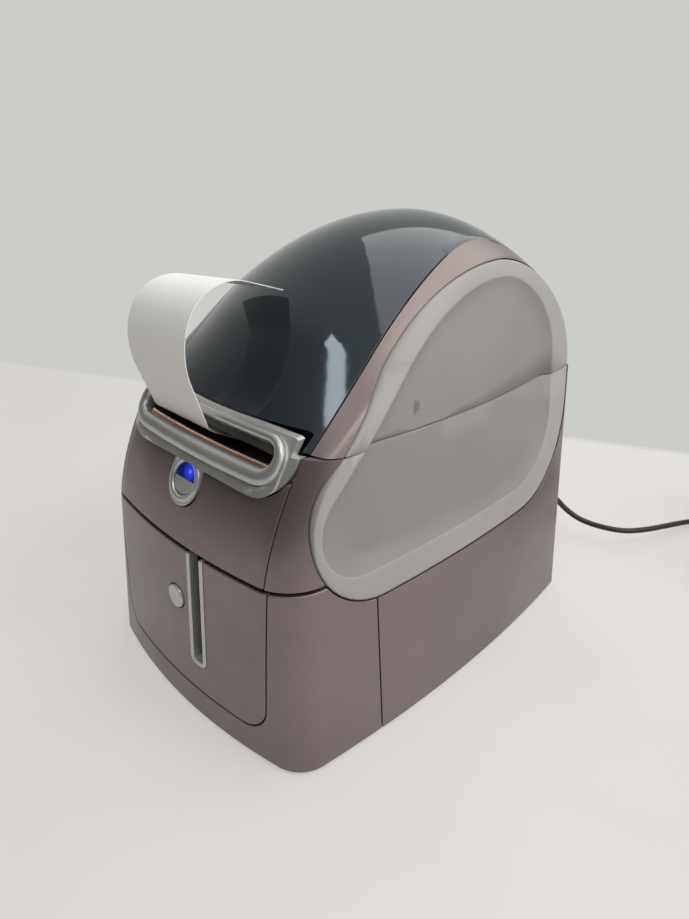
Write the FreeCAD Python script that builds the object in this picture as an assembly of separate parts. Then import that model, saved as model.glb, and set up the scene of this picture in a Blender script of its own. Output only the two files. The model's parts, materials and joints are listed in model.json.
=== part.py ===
import FreeCAD, Part
import math
import os

V = FreeCAD.Vector

# Thermal label printer, millimetres. Front is -Y, +Z is up, the origin is the centre of the base on the table.

# Overall sizes
body_width = 143.4
body_depth = 187.0
body_height = 185.6
wall = 2.2
seam = 0.5
shadow_seam = 1.6
foot_height = 1.2
prism_front = 15.0
prism_back = 25.0
prism_low = 5.0
least_corner = 2.0
least_rear_corner = 1.0

# Outer form of the body
side_draft = 0.0928
side_bow_r = 671.0
side_bow_y = 12.7
front_bow_r = 247.0
front_flattening = 0.5
front_lean = 0.0394
front_sweep = 0.0062
front_sweep_start = 11.3
corner_r = 14.5
corner_r_least = 6.0
corner_growth = 0.06
corner_sweep = 0.0015
rear_corner_r = 3.5
shoulder_z = 75.65
parting_z = 118.7
side_seam_y = -46.0

# Dome of the lid
dome_apex_y = 0.187 * body_depth
dome_front_r = 0.567 * body_depth
dome_rear_share = 1.06
dome_heel_share = 0.855
dome_rear_turn = 40.0
dome_heel_turn = 50.0
crown_r = 73.0
crown_stations = 4
lid_bow_r = 187.0
lid_tuck = 0.0032
lid_depth = 20.0
arch_r = 6.5
window_edge = ((48.6, 95.0), (47.6, 118.7), (46.5, 135.0), (45.0, 152.0), (42.6, 164.0), (38.4, 173.5),
               (31.0, 181.0), (20.0, 187.0))
window_rear_y = 62.0

# Grey side panels
panel_edge_x = 35.5
panel_inset = 7.0
panel_rear_margin = 3.0
panel_bottom_z = 61.4
panel_front_r = 30.0
panel_rear_r = 42.0
panel_wall = 5.6
panel_root_x = 38.0
dish_least = 0.8
dish_turn = 1.5
dish_far_y = 75.0
dish_rim = 6.0
dish_low_rim = 12.0
dish_rear_rim = 18.0

# Lid hinge
hinge_inset = 2.2
hinge_rise = 2.6
hinge_pin_r = 1.2
hinge_fit = 0.05
knuckle_r = 2.3
knuckle_width = 7.0
hinge_x = 24.0
hinge_gap = 0.4
lid_heel_lift = 1.6
lid_heel_depth = 6.0

# Label exit bezel and feed button
shoulder_half = 47.3
bezel_half = 46.8
bezel_top_half = 44.0
bezel_low_z = 104.5
bezel_high_z = 123.8
bezel_low_r = 12.0
bezel_high_r = 5.0
bezel_proud = 0.7
lobe_r = 9.0
button_z = 99.0
ring_half = 43.6
ring_margin = 3.9
ring_proud = 1.8
slot_z = 114.0
slot_tilt = 49.0
slot_half = 39.4
slot_height = 14.7
slot_r = 4.5
chute_depth = 2.5
chute_wall = 1.4
tear_bar_half = 34.0
tear_bar_width = 6.5
tear_bar_tilt = 12.0
tear_bar_thick = 0.6
tear_tooth = 1.5
feed_button_r = 5.8
feed_button_gap = 0.3
feed_button_length = 6.0
feed_button_proud = 0.5

# Drawer with the tape cassette
drawer_half = 48.2
drawer_wall = 2.4
drawer_low_z = 13.4
drawer_corner_r = 11.0
drawer_gap = 0.5
tape_slot_x = 13.1
tape_slot_width = 9.4
tape_slot_low_z = 26.0
tape_slot_r = 3.0
trim_wall = 1.9
trim_depth = 3.6
trim_proud = 0.5
eject_x = 0.0
eject_z = 51.6
eject_r = 5.1
eject_gap = 0.35
eject_length = 7.0
eject_proud = 0.8
tray_half = 42.0
tray_back_y = -26.0
tray_low_z = 15.0
tray_floor = 2.0
tray_side = 2.0
tray_height = 20.0
rail_gap = 0.3
rail_width = 2.4
rail_height = 9.0
cassette_width = 74.0
cassette_depth = 42.0
cassette_height = 19.0
cassette_r = 5.0
cassette_front_y = -78.0
hub_r = 5.5
spindle_r = 4.6
spindle_height = 14.0
spindle_x = -17.0
spindle_core_r = 3.2
spline_width = 1.2
spline_count = 6
tape_roller_r = 3.4
tape_roller_pin_r = 1.2
tape_head_thick = 2.2
cutter_width = 12.0
cutter_height = 24.0
cutter_thick = 0.8
cutter_y = -86.3
cutter_guide = 1.2
cutter_park = 2.0
cutter_slant = 2.5
tape_roller_y = -82.0

# Chassis
pan_thick = 2.2
fit_gap = 0.4
deck_z = 79.0
deck_thick = 2.0
post_r = 4.0
post_x = 49.0
post_front_y = -16.0
post_rear_y = 78.0
foot_r = 6.5
foot_x = 50.0
foot_front_y = -66.0
foot_rear_y = 65.0

# Label spool
spool_y = 26.0
spool_z = 118.0
roll_r = 34.0
label_left_x = -33.2
label_width = 36.2
core_r = 12.0
journal_r = 4.0
journal_gap = 0.08
flange_r = 31.0
flange_thick = 2.0
cheek_x = 36.4
cheek_thick = 2.4
cheek_depth = 30.0
cheek_rise = 8.0
sleeve_length = 4.0
sleeve_wall = 3.0

# Label path, platen and gears
path_rise = 30.0
nip_y = -57.0
nip_z = 107.0
paper_thick = 0.3
paper_gap = 0.35
strip_straight = 17.6
strip_angle = 115.5
strip_curl_r = 23.0
strip_curl_turn = 132.0
strip_tail = 17.0
strip_bend_r = 6.0
strip_bend_run = 6.0
strip_guide_back = 20.0
strip_slot_run = 15.5
platen_r = 6.0
platen_half = 34.5
shaft_r = 2.0
shaft_fit = 0.05
frame_x = 37.0
frame_thick = 2.0
frame_front_y = -66.0
frame_step_y = -49.0
frame_back_y = -12.0
frame_low_z = 106.5
frame_top_z = 113.0
frame_tie = 3.0
frame_tie_depth = 8.0
gear_module = 0.8
platen_teeth = 24
idler_teeth = 30
pinion_teeth = 12
gear_width = 3.0
gear_gap = 0.6
gear_dedendum = 1.15
gear_addendum = 0.85
tooth_foot = 0.36
tooth_tip = 0.12
idler_angle = -17.0
pinion_angle = 22.0
motor_r = 11.5
motor_length = 9.5
motor_boss_r = 4.0
motor_flange = 1.2
motor_stand_r = 1.6
motor_shaft_r = 1.5
head_half = 33.5
head_thick = 2.4
sink_thick = 5.0
sink_fin = 1.2
sink_slot = 1.6
head_pivot_back = 17.0
head_pivot_up = 6.0
lever_width = 5.0
lever_thick = 3.0
lever_top_z = 119.5
lever_knob_r = 3.0
head_arm = 2.0
head_front = 4.0
head_back = 12.0
sink_inset = 2.0
carrier_cover = 1.2
carrier_lift = 0.6
lever_grip = 6.0
sensor_left_x = -10.0
sensor_width = 14.0
sensor_depth = 6.0
sensor_height = 2.5

# Electronics
board_z = 22.8
board_thick = 1.6
board_half = 44.0
board_front_y = 8.0
board_back_y = 86.0
jack_x = 38.0
jack_z = 30.0
jack_width = 10.0
jack_depth = 13.0
jack_bore_r = 3.2
usb_x = 8.0
usb_width = 12.0
usb_height = 11.0
usb_depth = 15.0
usb_shell = 0.8
usb_tongue_width = 5.6
usb_tongue_height = 3.2
usb_recess = 6.0
socket_gap = 0.4
socket_back = 2.0
chips = [
    (-20.0, 35.0, 14.0, 14.0, 1.6), (10.0, 30.0, 10.0, 8.0, 1.6), (-30.0, 62.0, 8.0, 8.0, 10.0),
    (-12.0, 62.0, 8.0, 8.0, 10.0), (22.0, 60.0, 12.0, 6.0, 6.0), (30.0, 25.0, 6.0, 14.0, 7.0)]
screw_r = 1.5
screw_head_r = 2.8
screw_head = 1.0
screw_length = 6.0

# Power lead
lead_r = 1.6
plug_r = 4.6
plug_length = 12.0
plug_tip_r = 2.75
plug_tip = 8.0
relief_length = 10.0
relief_root_r = 3.45
relief_tip_r = 2.2
bend_share = 0.45
lead_points = [
    (38.0, 116.5, 30.0), (38.0, 127.5, 30.0), (40.1, 137.2, 24.2), (46.2, 142.5, 15.7),
    (57.1, 144.6, 11.4), (76.3, 149.0, 11.8), (84.6, 163.5, 10.2), (90.4, 179.5, 8.6),
    (95.0, 195.0, 6.6), (98.6, 209.5, 3.4), (99.9, 221.0, 1.9), (100.0, 232.0, 1.8)]
coil_layers = 4
coil_turns = 2.5
coil_r_inner = 13.0
coil_pitch = 4.2
coil_step = 4.2
coil_climb = 0.5
coil_spots = 4
adapter_width = 38.0
adapter_length = 50.0
adapter_height = 28.8
adapter_r = 4.0
adapter_relief = 24.0
adapter_relief_r = 3.0
adapter_relief_tip = 0.4
adapter_pin_length = 16.0
adapter_pin_width = 6.3
adapter_pin_thick = 1.5
adapter_pin_spacing = 12.7

front_edge_y = -body_depth / 2
rear_edge_y = body_depth / 2
reach = body_width
lid_low_z = parting_z - lid_depth
hinge_y = rear_edge_y - hinge_inset
hinge_z = parting_z + hinge_rise


def save(name, shape):
    """Write one named piece of the printer."""
    shape.exportStep("parts/%s.step" % name)


def box(x0, x1, y0, y1, z0, z1):
    return Part.makeBox(x1 - x0, y1 - y0, z1 - z0, V(x0, y0, z0))


def tube(start, direction, radius, length):
    return Part.makeCylinder(radius, length, V(*start), V(*direction))


def fused(shapes):
    joined = shapes[0].multiFuse(shapes[1:])
    return joined.removeSplitter()


def unit(y, z):
    size = math.hypot(y, z)
    return y / size, z / size


def polar(centre, radius, degrees):
    angle = math.radians(degrees)
    return centre[0] + radius * math.cos(angle), centre[1] + radius * math.sin(angle)


def outline(steps, place):
    """Wire of lines (two points) and arcs (three points), each given in a plane."""
    edges = []
    for points in steps:
        spots = [place(*p) for p in points]
        if len(spots) == 2:
            edges.append(Part.LineSegment(spots[0], spots[1]).toShape())
        else:
            edges.append(Part.Arc(*spots).toShape())
    return Part.Wire(edges)


def rounded(u0, u1, v0, v1, low_r, high_r, place):
    """Rectangle with rounded lower and upper corners."""
    s = 1 - math.sqrt(0.5)
    steps = [((u0 + low_r, v0), (u1 - low_r, v0)),
             ((u1 - low_r, v0), (u1 - s * low_r, v0 + s * low_r), (u1, v0 + low_r)),
             ((u1, v0 + low_r), (u1, v1 - high_r))]
    if high_r > 0:
        steps.append(((u1, v1 - high_r), (u1 - s * high_r, v1 - s * high_r), (u1 - high_r, v1)))
    steps.append(((u1 - high_r, v1), (u0 + high_r, v1)))
    if high_r > 0:
        steps.append(((u0 + high_r, v1), (u0 + s * high_r, v1 - s * high_r), (u0, v1 - high_r)))
    steps.append(((u0, v1 - high_r), (u0, v0 + low_r)))
    steps.append(((u0, v0 + low_r), (u0 + s * low_r, v0 + s * low_r), (u0 + low_r, v0)))
    return outline(steps, place)


def from_front(wire, y0, y1):
    """Prism of a wire drawn in the plane Y = 0, between two depths."""
    face = Part.Face(wire)
    face.translate(V(0, y0, 0))
    return face.extrude(V(0, y1 - y0, 0))


# Outer form: plan sections of the body
def sweep_at(z):
    return max(0.0, z - (shoulder_z - front_sweep_start))


def front_y(z):
    return front_edge_y + front_lean * z + front_sweep * sweep_at(z) ** 2


def corner_at(z):
    return max(corner_r_least, corner_r + corner_growth * z - corner_sweep * sweep_at(z) ** 2)


def bow_at(z):
    """The front is flatter towards the lid line."""
    return front_bow_r / (1 - front_flattening * min(1.0, max(0.0, z) / parting_z) ** 4)


def side_x(z):
    """Greatest half width at one height: drafted, and drawn in more above the lid line."""
    return body_width / 2 - side_draft * z - lid_tuck * max(0.0, z - parting_z) ** 2


def on_circle(centre, radius, toward):
    d = unit(toward[0] - centre[0], toward[1] - centre[1])
    return centre[0] + radius * d[0], centre[1] + radius * d[1]


def between(centre, radius, p, q):
    return on_circle(centre, radius, ((p[0] + q[0]) / 2, (p[1] + q[1]) / 2))


def lower_meeting(c1, r1, c2, r2):
    """The lower of the two points where two circles meet, on the +X side."""
    dx, dy = c2[0] - c1[0], c2[1] - c1[1]
    d = math.hypot(dx, dy)
    a = (r1 * r1 - r2 * r2 + d * d) / (2 * d)
    h = math.sqrt(r1 * r1 - a * a)
    mx, my = c1[0] + a * dx / d, c1[1] + a * dy / d
    spots = [(mx + h * dy / d, my - h * dx / d), (mx - h * dy / d, my + h * dx / d)]
    return min(spots, key=lambda p: p[1])


def plan_wire(z, inset, front, corner, rear_corner):
    """Plan outline at one height: bowed front, bowed sides, straight rear, rounded corners."""
    side_r = side_bow_r - inset
    side_c = (side_x(z) - side_bow_r, side_bow_y)
    bow = bow_at(z) - inset
    front_c = (0.0, front + bow_at(z))
    corner_c = lower_meeting(side_c, side_r - corner, front_c, bow - corner)
    on_front = on_circle(front_c, bow, corner_c)
    on_side = on_circle(side_c, side_r, corner_c)
    rear = rear_edge_y - inset
    rear_cy = rear - rear_corner
    rear_cx = side_c[0] + math.sqrt((side_r - rear_corner) ** 2 - (rear_cy - side_c[1]) ** 2)
    rear_c = (rear_cx, rear_cy)
    side_end = on_circle(side_c, side_r, rear_c)
    rear_end = (rear_cx, rear)
    corner_mid = between(corner_c, corner, on_front, on_side)
    side_mid = between(side_c, side_r, on_side, side_end)
    rear_mid = between(rear_c, rear_corner, side_end, rear_end)

    def mirrored(p):
        return -p[0], p[1]

    steps = [(mirrored(on_front), (0.0, front + inset), on_front),
             (on_front, corner_mid, on_side),
             (on_side, side_mid, side_end),
             (side_end, rear_mid, rear_end),
             (rear_end, mirrored(rear_end)),
             (mirrored(rear_end), mirrored(rear_mid), mirrored(side_end)),
             (mirrored(side_end), mirrored(side_mid), mirrored(on_side)),
             (mirrored(on_side), mirrored(corner_mid), mirrored(on_front))]
    return outline(steps, lambda x, y: V(x, y, z))


envelopes = {}


def envelope(inset, low=0.0):
    """Solid inside the outer form, drawn in by an inset: straight up to the shoulder, then swept back."""
    if (inset, low) not in envelopes:
        step = (parting_z - shoulder_z) / 4
        lower = [section(z, inset) for z in (low, shoulder_z)]
        upper = [section(shoulder_z + k * step, inset) for k in range(6)]
        envelopes[(inset, low)] = fused([Part.makeLoft(lower, True, True), Part.makeLoft(upper, True, False)])
    return envelopes[(inset, low)]


def section(z, inset):
    corner = max(corner_at(z) - inset, least_corner)
    return plan_wire(z, inset, front_y(z), corner, max(rear_corner_r - inset, least_rear_corner))


# Outer form: profile of the dome
def dome(x, inset, rear):
    """Key points of the dome's side profile at one distance from the middle, drawn in by an inset."""
    top = body_height - x * x / (2 * crown_r)
    front_c = (dome_apex_y, top - dome_front_r)
    foot = (front_y(parting_z) + x * x / (2 * lid_bow_r), parting_z)
    away = math.hypot(foot[0] - front_c[0], foot[1] - front_c[1])
    lean = math.degrees(math.atan2(foot[1] - front_c[1], foot[0] - front_c[0]))
    touch = lean - math.degrees(math.acos(dome_front_r / away))
    s1, c1 = math.sin(math.radians(dome_rear_turn)), math.cos(math.radians(dome_rear_turn))
    s2, c2 = math.sin(math.radians(dome_heel_turn)), math.cos(math.radians(dome_heel_turn))
    run = rear + inset - dome_apex_y
    rear_r, heel_r = dome_rear_share * run, dome_heel_share * run
    back_r = (run - rear_r * s1 - heel_r * (1 - s2)) / (s2 - s1)
    rear_c = (dome_apex_y, top - rear_r)
    back_c = (rear_c[0] - (back_r - rear_r) * s1, rear_c[1] - (back_r - rear_r) * c1)
    heel_c = (back_c[0] + (back_r - heel_r) * s2, back_c[1] + (back_r - heel_r) * c2)
    front_r, rear_r, back_r, heel_r = [r - inset for r in (dome_front_r, rear_r, back_r, heel_r)]
    t0, t1 = 90 - dome_rear_turn, 90 - dome_heel_turn
    apex = (dome_apex_y, top - inset)
    start = polar(front_c, front_r, touch)
    top_end = polar(rear_c, rear_r, t0)
    back_end = polar(back_c, back_r, t1)
    heel_end = (heel_c[0] + heel_r, heel_c[1])
    down = polar((0.0, 0.0), 1.0, touch + 90)
    arcs = [(start, polar(front_c, front_r, (touch + 90) / 2), apex),
            (apex, polar(rear_c, rear_r, (90 + t0) / 2), top_end),
            (top_end, polar(back_c, back_r, (t0 + t1) / 2), back_end),
            (back_end, polar(heel_c, heel_r, t1 / 2), heel_end)]
    return start, down, arcs, heel_end


def dome_wire(x, inset):
    """Closed side profile of the lid at one distance from the middle."""
    rear = rear_edge_y - inset
    start, down, arcs, heel_end = dome(x, inset, rear)
    low_z = lid_low_z - inset - x * x / (2 * crown_r)
    run = (low_z - start[1]) / down[1]
    low = (start[0] + run * down[0], low_z)
    steps = [(low, start)] + arcs + [(heel_end, (rear, low_z)), ((rear, low_z), low)]
    return outline(steps, lambda y, z: V(x, y, z))


def dome_solid(inset):
    """Crowned loaf under the dome profiles, cut to the bowed and drawn-in sides, with rounded arches."""
    step = body_width / 2 / crown_stations
    stations = range(-crown_stations, crown_stations + 1)
    loaf = Part.makeLoft([dome_wire(k * step, inset) for k in stations], True, False)
    lower = [side_wire(z, inset) for z in (0.0, parting_z)]
    rise = (body_height - parting_z) / crown_stations
    upper = [side_wire(parting_z + k * rise, inset) for k in range(crown_stations + 2)]
    sides = fused([Part.makeLoft(lower, True, True), Part.makeLoft(upper, True, False)])
    block = loaf.common(sides)
    chain = [e for e in block.Edges if is_arch_edge(e)]
    return block.makeFillet(arch_r - inset, chain)


def side_wire(z, inset):
    """Plan of the two bowed sides alone, open far past the front and the rear."""
    r = side_bow_r - inset
    c = (side_x(z) - side_bow_r, side_bow_y)
    spots = []
    for y in (-body_depth, side_bow_y, body_depth):
        spots.append((c[0] + math.sqrt(r * r - (y - c[1]) ** 2), y))
    left = [(-x, y) for x, y in spots]
    steps = [(left[0], spots[0]), tuple(spots), (spots[2], left[2]), (left[2], left[1], left[0])]
    return outline(steps, lambda x, y: V(x, y, z))


def is_arch_edge(edge):
    """An edge where the dome meets a side, away from the low cut."""
    middle = edge.valueAt((edge.FirstParameter + edge.LastParameter) / 2)
    return abs(middle.x) > panel_root_x and middle.z > parting_z


# Outlines of the grey side panels
def panel_wire(inset, rear_margin, bottom, front_r, rear_r):
    rear = rear_edge_y - rear_margin
    start, down, arcs, heel_end = dome(panel_edge_x, inset, rear)
    inward = (-down[1], down[0])
    run = (bottom + front_r - start[1] - front_r * inward[1]) / down[1]
    on_line = (start[0] + run * down[0], start[1] + run * down[1])
    front_c = (on_line[0] + front_r * inward[0], on_line[1] + front_r * inward[1])
    low_front = (front_c[0], bottom)
    rear_r = min(rear_r, heel_end[1] - bottom - seam)
    rear_c = (rear - rear_r, bottom + rear_r)
    low_rear = (rear_c[0], bottom)
    up_rear = (rear, rear_c[1])
    steps = [(on_line, start)] + arcs + [
        (heel_end, up_rear),
        (up_rear, between(rear_c, rear_r, up_rear, low_rear), low_rear),
        (low_rear, low_front),
        (low_front, between(front_c, front_r, low_front, on_line), on_line)]
    return outline(steps, lambda y, z: V(0, y, z))


def side_prism(wire, side):
    face = Part.Face(wire)
    face.translate(V(side * panel_root_x, 0, 0))
    return face.extrude(V(side * body_width, 0, 0))


def panel_prism(side, grow=0.0):
    wire = panel_wire(panel_inset - grow, panel_rear_margin - grow, panel_bottom_z - grow,
                      panel_front_r + grow, panel_rear_r + grow)
    return side_prism(wire, side)


def dish_prism():
    wire = panel_wire(panel_inset + dish_rim, panel_rear_margin + dish_rear_rim, panel_bottom_z + dish_low_rim,
                      panel_front_r - dish_low_rim, panel_rear_r - dish_low_rim)
    return side_prism(wire, 1)


def below(shape, z):
    return shape.common(box(-reach, reach, -reach, reach, -reach, z))


def above(shape, z):
    return shape.common(box(-reach, reach, -reach, reach, z, 2 * reach))


# Body shells
body_top = parting_z - seam / 2
lid_bottom = parting_z + seam / 2
panel_holes = [panel_prism(side, seam) for side in (-1, 1)]


def body_shell():
    shell = envelope(0.0).cut(envelope(wall, -prism_low))
    return above(below(shell, body_top), foot_height)


def drawer_outline(grow):
    return rounded(-drawer_half - grow, drawer_half + grow, drawer_low_z - grow,
                   shoulder_z - shadow_seam / 2 + grow, drawer_corner_r + grow, 0.0, lambda x, z: V(x, 0, z))


def bezel_prism(grow):
    """Front view of the bezel: a rounded bar, narrower above the lid line, with a lobe for the feed button."""
    bar = rounded(-bezel_half - grow, bezel_half + grow, bezel_low_z - grow, bezel_high_z + grow,
                  bezel_low_r + grow, bezel_high_r + grow, lambda x, z: V(x, 0, z))
    y0, y1 = front_edge_y - prism_front, front_y(bezel_high_z) + prism_front
    ends = [box(x0, x1, y0, y1, body_top, reach) for x0, x1 in
            ((-reach, -bezel_top_half - grow), (bezel_top_half + grow, reach))]
    lobe = tube((0, y0, button_z), (0, 1, 0), lobe_r + grow, y1 - y0)
    neck = box(-lobe_r - grow, lobe_r + grow, y0, y1, button_z, bezel_low_z)
    return fused([from_front(bar, y0, y1).cut(together(ends)), lobe, neck])


def front_base_shell(shell):
    front = shell.common(box(-reach, reach, -reach, side_seam_y - seam / 2, 0, shoulder_z - shadow_seam / 2))
    opening = from_front(drawer_outline(drawer_gap), 2 * front_edge_y, front_edge_y + 2 * corner_r)
    return front.cut(together(panel_holes + [opening]))


def together(cutters):
    return Part.makeCompound(cutters)


def rear_body_shell(shell):
    rear = shell.common(box(-reach, reach, side_seam_y + seam / 2, reach, 0, parting_z))
    low = board_z + board_thick
    jack = box(jack_x - jack_width / 2 - socket_gap, jack_x + jack_width / 2 + socket_gap, 0, reach,
               low - socket_gap, jack_z + jack_width / 2 + socket_gap)
    usb = box(usb_x - usb_width / 2 - socket_gap, usb_x + usb_width / 2 + socket_gap, 0, reach,
              low - socket_gap, low + usb_height + socket_gap)
    rear = rear.cut(together(panel_holes + [jack, usb]))
    return fused([rear] + [body_ear(side * hinge_x) for side in (-1, 1)])


def body_ear(x):
    """Ear on the rear wall that holds a hinge pin."""
    half = knuckle_width / 2
    low_z = body_top - 2 * knuckle_r
    foot = box(x - half, x + half, hinge_y - knuckle_r, rear_edge_y - wall / 4, low_z, hinge_z)
    barrel = tube((x - half, hinge_y, hinge_z), (1, 0, 0), knuckle_r, knuckle_width)
    bore = tube((x - half, hinge_y, hinge_z), (1, 0, 0), hinge_pin_r, knuckle_width)
    return foot.fuse(barrel).cut(bore)


def upper_front(shell):
    band = box(-reach, reach, -reach, side_seam_y - seam / 2, shoulder_z + shadow_seam / 2, parting_z)
    return shell.common(band).cut(together(panel_holes))


def upper_front_panel(shell):
    half = shoulder_half - seam / 2
    top = bezel_low_z + bezel_low_r / 2
    middle = upper_front(shell).common(box(-half, half, -reach, reach, 0, top))
    return middle.cut(bezel_prism(seam))


def shoulder(shell, side):
    edge = shoulder_half + seam / 2
    x0, x1 = sorted((side * edge, side * reach))
    return upper_front(shell).common(box(x0, x1, -reach, reach, 0, reach))


def dish_floor(solid):
    """The outer form drawn in and turned a little, so that the dish is deepest at the front."""
    floor = solid.copy()
    floor.rotate(V(0, dish_far_y, 0), V(0, 0, 1), -dish_turn)
    floor.translate(V(-dish_least, 0, 0))
    return floor


def side_panel(side, lid):
    """One half of a grey side panel, with its dished face: the lid's half or the body's half."""
    outer = lid_solids[0.0] if lid else envelope(0.0, -prism_low)
    inner = lid_solids[panel_wall] if lid else envelope(panel_wall, -prism_low)
    panel = panel_prism(1).common(outer).cut(inner)
    panel = panel.cut(dish_prism().cut(dish_floor(outer)))
    panel = above(panel, lid_bottom) if lid else below(panel, body_top)
    return panel if side > 0 else panel.mirror(V(0, 0, 0), V(1, 0, 0))


# Lid
lid_solids = {inset: dome_solid(inset) for inset in (0.0, wall, panel_wall)}


def lid_shell():
    shell = above(lid_solids[0.0].cut(lid_solids[wall]), lid_bottom)
    heel = box(-reach, reach, rear_edge_y - lid_heel_depth, reach, 0, lid_bottom + lid_heel_lift)
    return shell.cut(heel)


def window_wedge(grow):
    """Space of the tinted window, drawn in towards the top in a smooth curve."""
    right = [V(x + grow, -reach, z) for x, z in window_edge]
    left = [V(-p.x, p.y, p.z) for p in reversed(right)]
    curves = []
    for points in (right, left):
        curve = Part.BSplineCurve()
        curve.interpolate(points)
        curves.append(curve.toShape())
    top = Part.makeLine(right[-1], left[0])
    bottom = Part.makeLine(left[-1], right[0])
    face = Part.Face(Part.Wire([curves[0], top, curves[1], bottom]))
    return face.extrude(V(0, reach + window_rear_y + grow, 0))


def lid_window(shell):
    return shell.common(window_wedge(-seam / 2)).cut(bezel_prism(seam))


def lid_frame(shell):
    """Both arches and the rear bridge, with the knuckles of the hinge."""
    frame = shell.cut(together(panel_holes + [window_wedge(seam / 2)]))
    ear_half = knuckle_width / 2 + hinge_gap
    knuckles, slots = [], []
    for x in (-hinge_x, hinge_x):
        for x0 in (x - ear_half - knuckle_width, x + ear_half):
            knuckles.append(tube((x0, hinge_y, hinge_z), (1, 0, 0), knuckle_r, knuckle_width))
            knuckles.append(box(x0, x0 + knuckle_width, hinge_y - knuckle_r, hinge_y, hinge_z,
                                hinge_z + 2 * knuckle_r).common(lid_solids[0.0]))
        slots.append(box(x - ear_half, x + ear_half, hinge_y - knuckle_r - 2 * hinge_gap, reach,
                         0, hinge_z + knuckle_r + hinge_gap))
    bores = [tube((x - 2 * knuckle_width, hinge_y, hinge_z), (1, 0, 0), hinge_pin_r + hinge_fit,
                  4 * knuckle_width) for x in (-hinge_x, hinge_x)]
    return fused([frame] + knuckles).cut(together(slots + bores))


def hinge_pins():
    length = 3 * knuckle_width + 2 * hinge_gap
    return Part.makeCompound([tube((x - length / 2, hinge_y, hinge_z), (1, 0, 0), hinge_pin_r, length)
                              for x in (-hinge_x, hinge_x)])


# Label exit
def slope_at(z):
    return front_lean + 2 * front_sweep * sweep_at(z)


def on_front(z):
    """Point on the front's centre line, the way up along it and the way out of it."""
    slope = slope_at(z)
    size = math.hypot(1.0, slope)
    return V(0, front_y(z), z), V(0, slope / size, 1 / size), V(0, -1 / size, slope / size)


exit_spot = V(0, front_y(slot_z), slot_z)
exit_up = V(0, math.cos(math.radians(slot_tilt)), math.sin(math.radians(slot_tilt)))
exit_out = V(0, -exit_up.z, exit_up.y)


def exit_place(x, up):
    """A point of the label slot's own plane."""
    return exit_spot + V(x, 0, 0) + exit_up * up


def exit_prism(half, margin, radius, inner, outer):
    """Prism square to the label slot's plane, from an inner to an outer level."""
    high = slot_height / 2 + margin
    face = Part.Face(rounded(-half, half, -high, high, radius, radius, exit_place))
    face.translate(exit_out * inner)
    return face.extrude(exit_out * (outer - inner))


def exit_bezel():
    """Silver bezel: plate with a lobe, a raised ring round the slot and the chute behind it."""
    plate = bezel_prism(0.0).common(envelope(-bezel_proud).cut(envelope(wall)))
    far = 4 * ring_proud + wall
    ring = exit_prism(ring_half, ring_margin, slot_r + ring_margin, -far, far)
    ring = ring.common(envelope(-ring_proud).cut(envelope(wall / 2))).common(bezel_prism(0.0))
    chute = exit_prism(slot_half + chute_wall, chute_wall, slot_r + chute_wall, -chute_depth, -wall / 2)
    slot = exit_prism(slot_half, 0.0, slot_r, -far, far)
    spot, along, out = on_front(button_z)
    hole = Part.makeCylinder(feed_button_r + feed_button_gap, 2 * prism_front, spot - out * prism_front, out)
    return fused([plate, ring, chute]).cut(together([slot, hole]))


def tear_bar():
    """Serrated strip on the lower side of the slot."""
    tilt = math.radians(tear_bar_tilt)
    rise = exit_up * math.cos(tilt) - exit_out * math.sin(tilt)
    foot = exit_spot - exit_up * slot_height / 2 - exit_out * wall / 4
    count = int(2 * tear_bar_half / tear_tooth)
    points = [V(-tear_bar_half, 0, 0), V(tear_bar_half, 0, 0)]
    for k in range(count, -1, -1):
        x = -tear_bar_half + 2 * tear_bar_half * k / count
        points.append(V(x, 0, 0) + rise * (tear_bar_width - tear_tooth / 2))
        if k:
            points.append(V(x - tear_bar_half / count, 0, 0) + rise * tear_bar_width)
    wire = Part.makePolygon([foot + p for p in points + points[:1]])
    return Part.Face(wire).extrude(V(1, 0, 0).cross(rise) * tear_bar_thick)


def feed_button():
    """Round button, whose upper half is a separate lens for the light."""
    spot, along, out = on_front(button_z)
    body = Part.makeCylinder(feed_button_r, feed_button_length, spot - out * feed_button_length, out)
    face = Part.makeCylinder(feed_button_r, feed_button_proud + wall, spot - out * wall, out)
    upper = Part.makeBox(4 * feed_button_r, 4 * feed_button_r, 8 * feed_button_r,
                         V(-2 * feed_button_r, 0, 0))
    upper.Placement = FreeCAD.Placement(spot - out * wall, FreeCAD.Rotation(V(1, 0, 0), along, out, "XYZ"))
    lens = face.common(upper)
    return body.fuse(face).cut(lens).removeSplitter(), lens


# Drawer
def tape_slot_prism(shrink, low_shrink):
    half = tape_slot_width / 2 - shrink
    wire = rounded(tape_slot_x - half, tape_slot_x + half, tape_slot_low_z + low_shrink, shoulder_z,
                   tape_slot_r - low_shrink, 0.0, lambda x, z: V(x, 0, z))
    return from_front(wire, front_edge_y - prism_front, front_edge_y + prism_back)


def eject_prism(shrink):
    start = (eject_x, front_edge_y - prism_front, eject_z)
    return tube(start, (0, 1, 0), eject_r - shrink, prism_front + prism_back)


def drawer_front():
    block = from_front(drawer_outline(0.0), front_edge_y - prism_front, front_edge_y + prism_back)
    skin = block.common(envelope(0.0).cut(envelope(drawer_wall, -prism_low)))
    return skin.cut(together([tape_slot_prism(0.0, 0.0), eject_prism(0.0)]))


def tape_slot_trim():
    rim = tape_slot_prism(0.0, 0.0).cut(tape_slot_prism(trim_wall, trim_wall))
    rim = rim.common(envelope(-trim_proud).cut(envelope(trim_depth, -prism_low)))
    return below(rim, shoulder_z - shadow_seam / 2)


def eject_button():
    return eject_prism(eject_gap).common(envelope(-eject_proud).cut(envelope(eject_length, -prism_low)))


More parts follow.
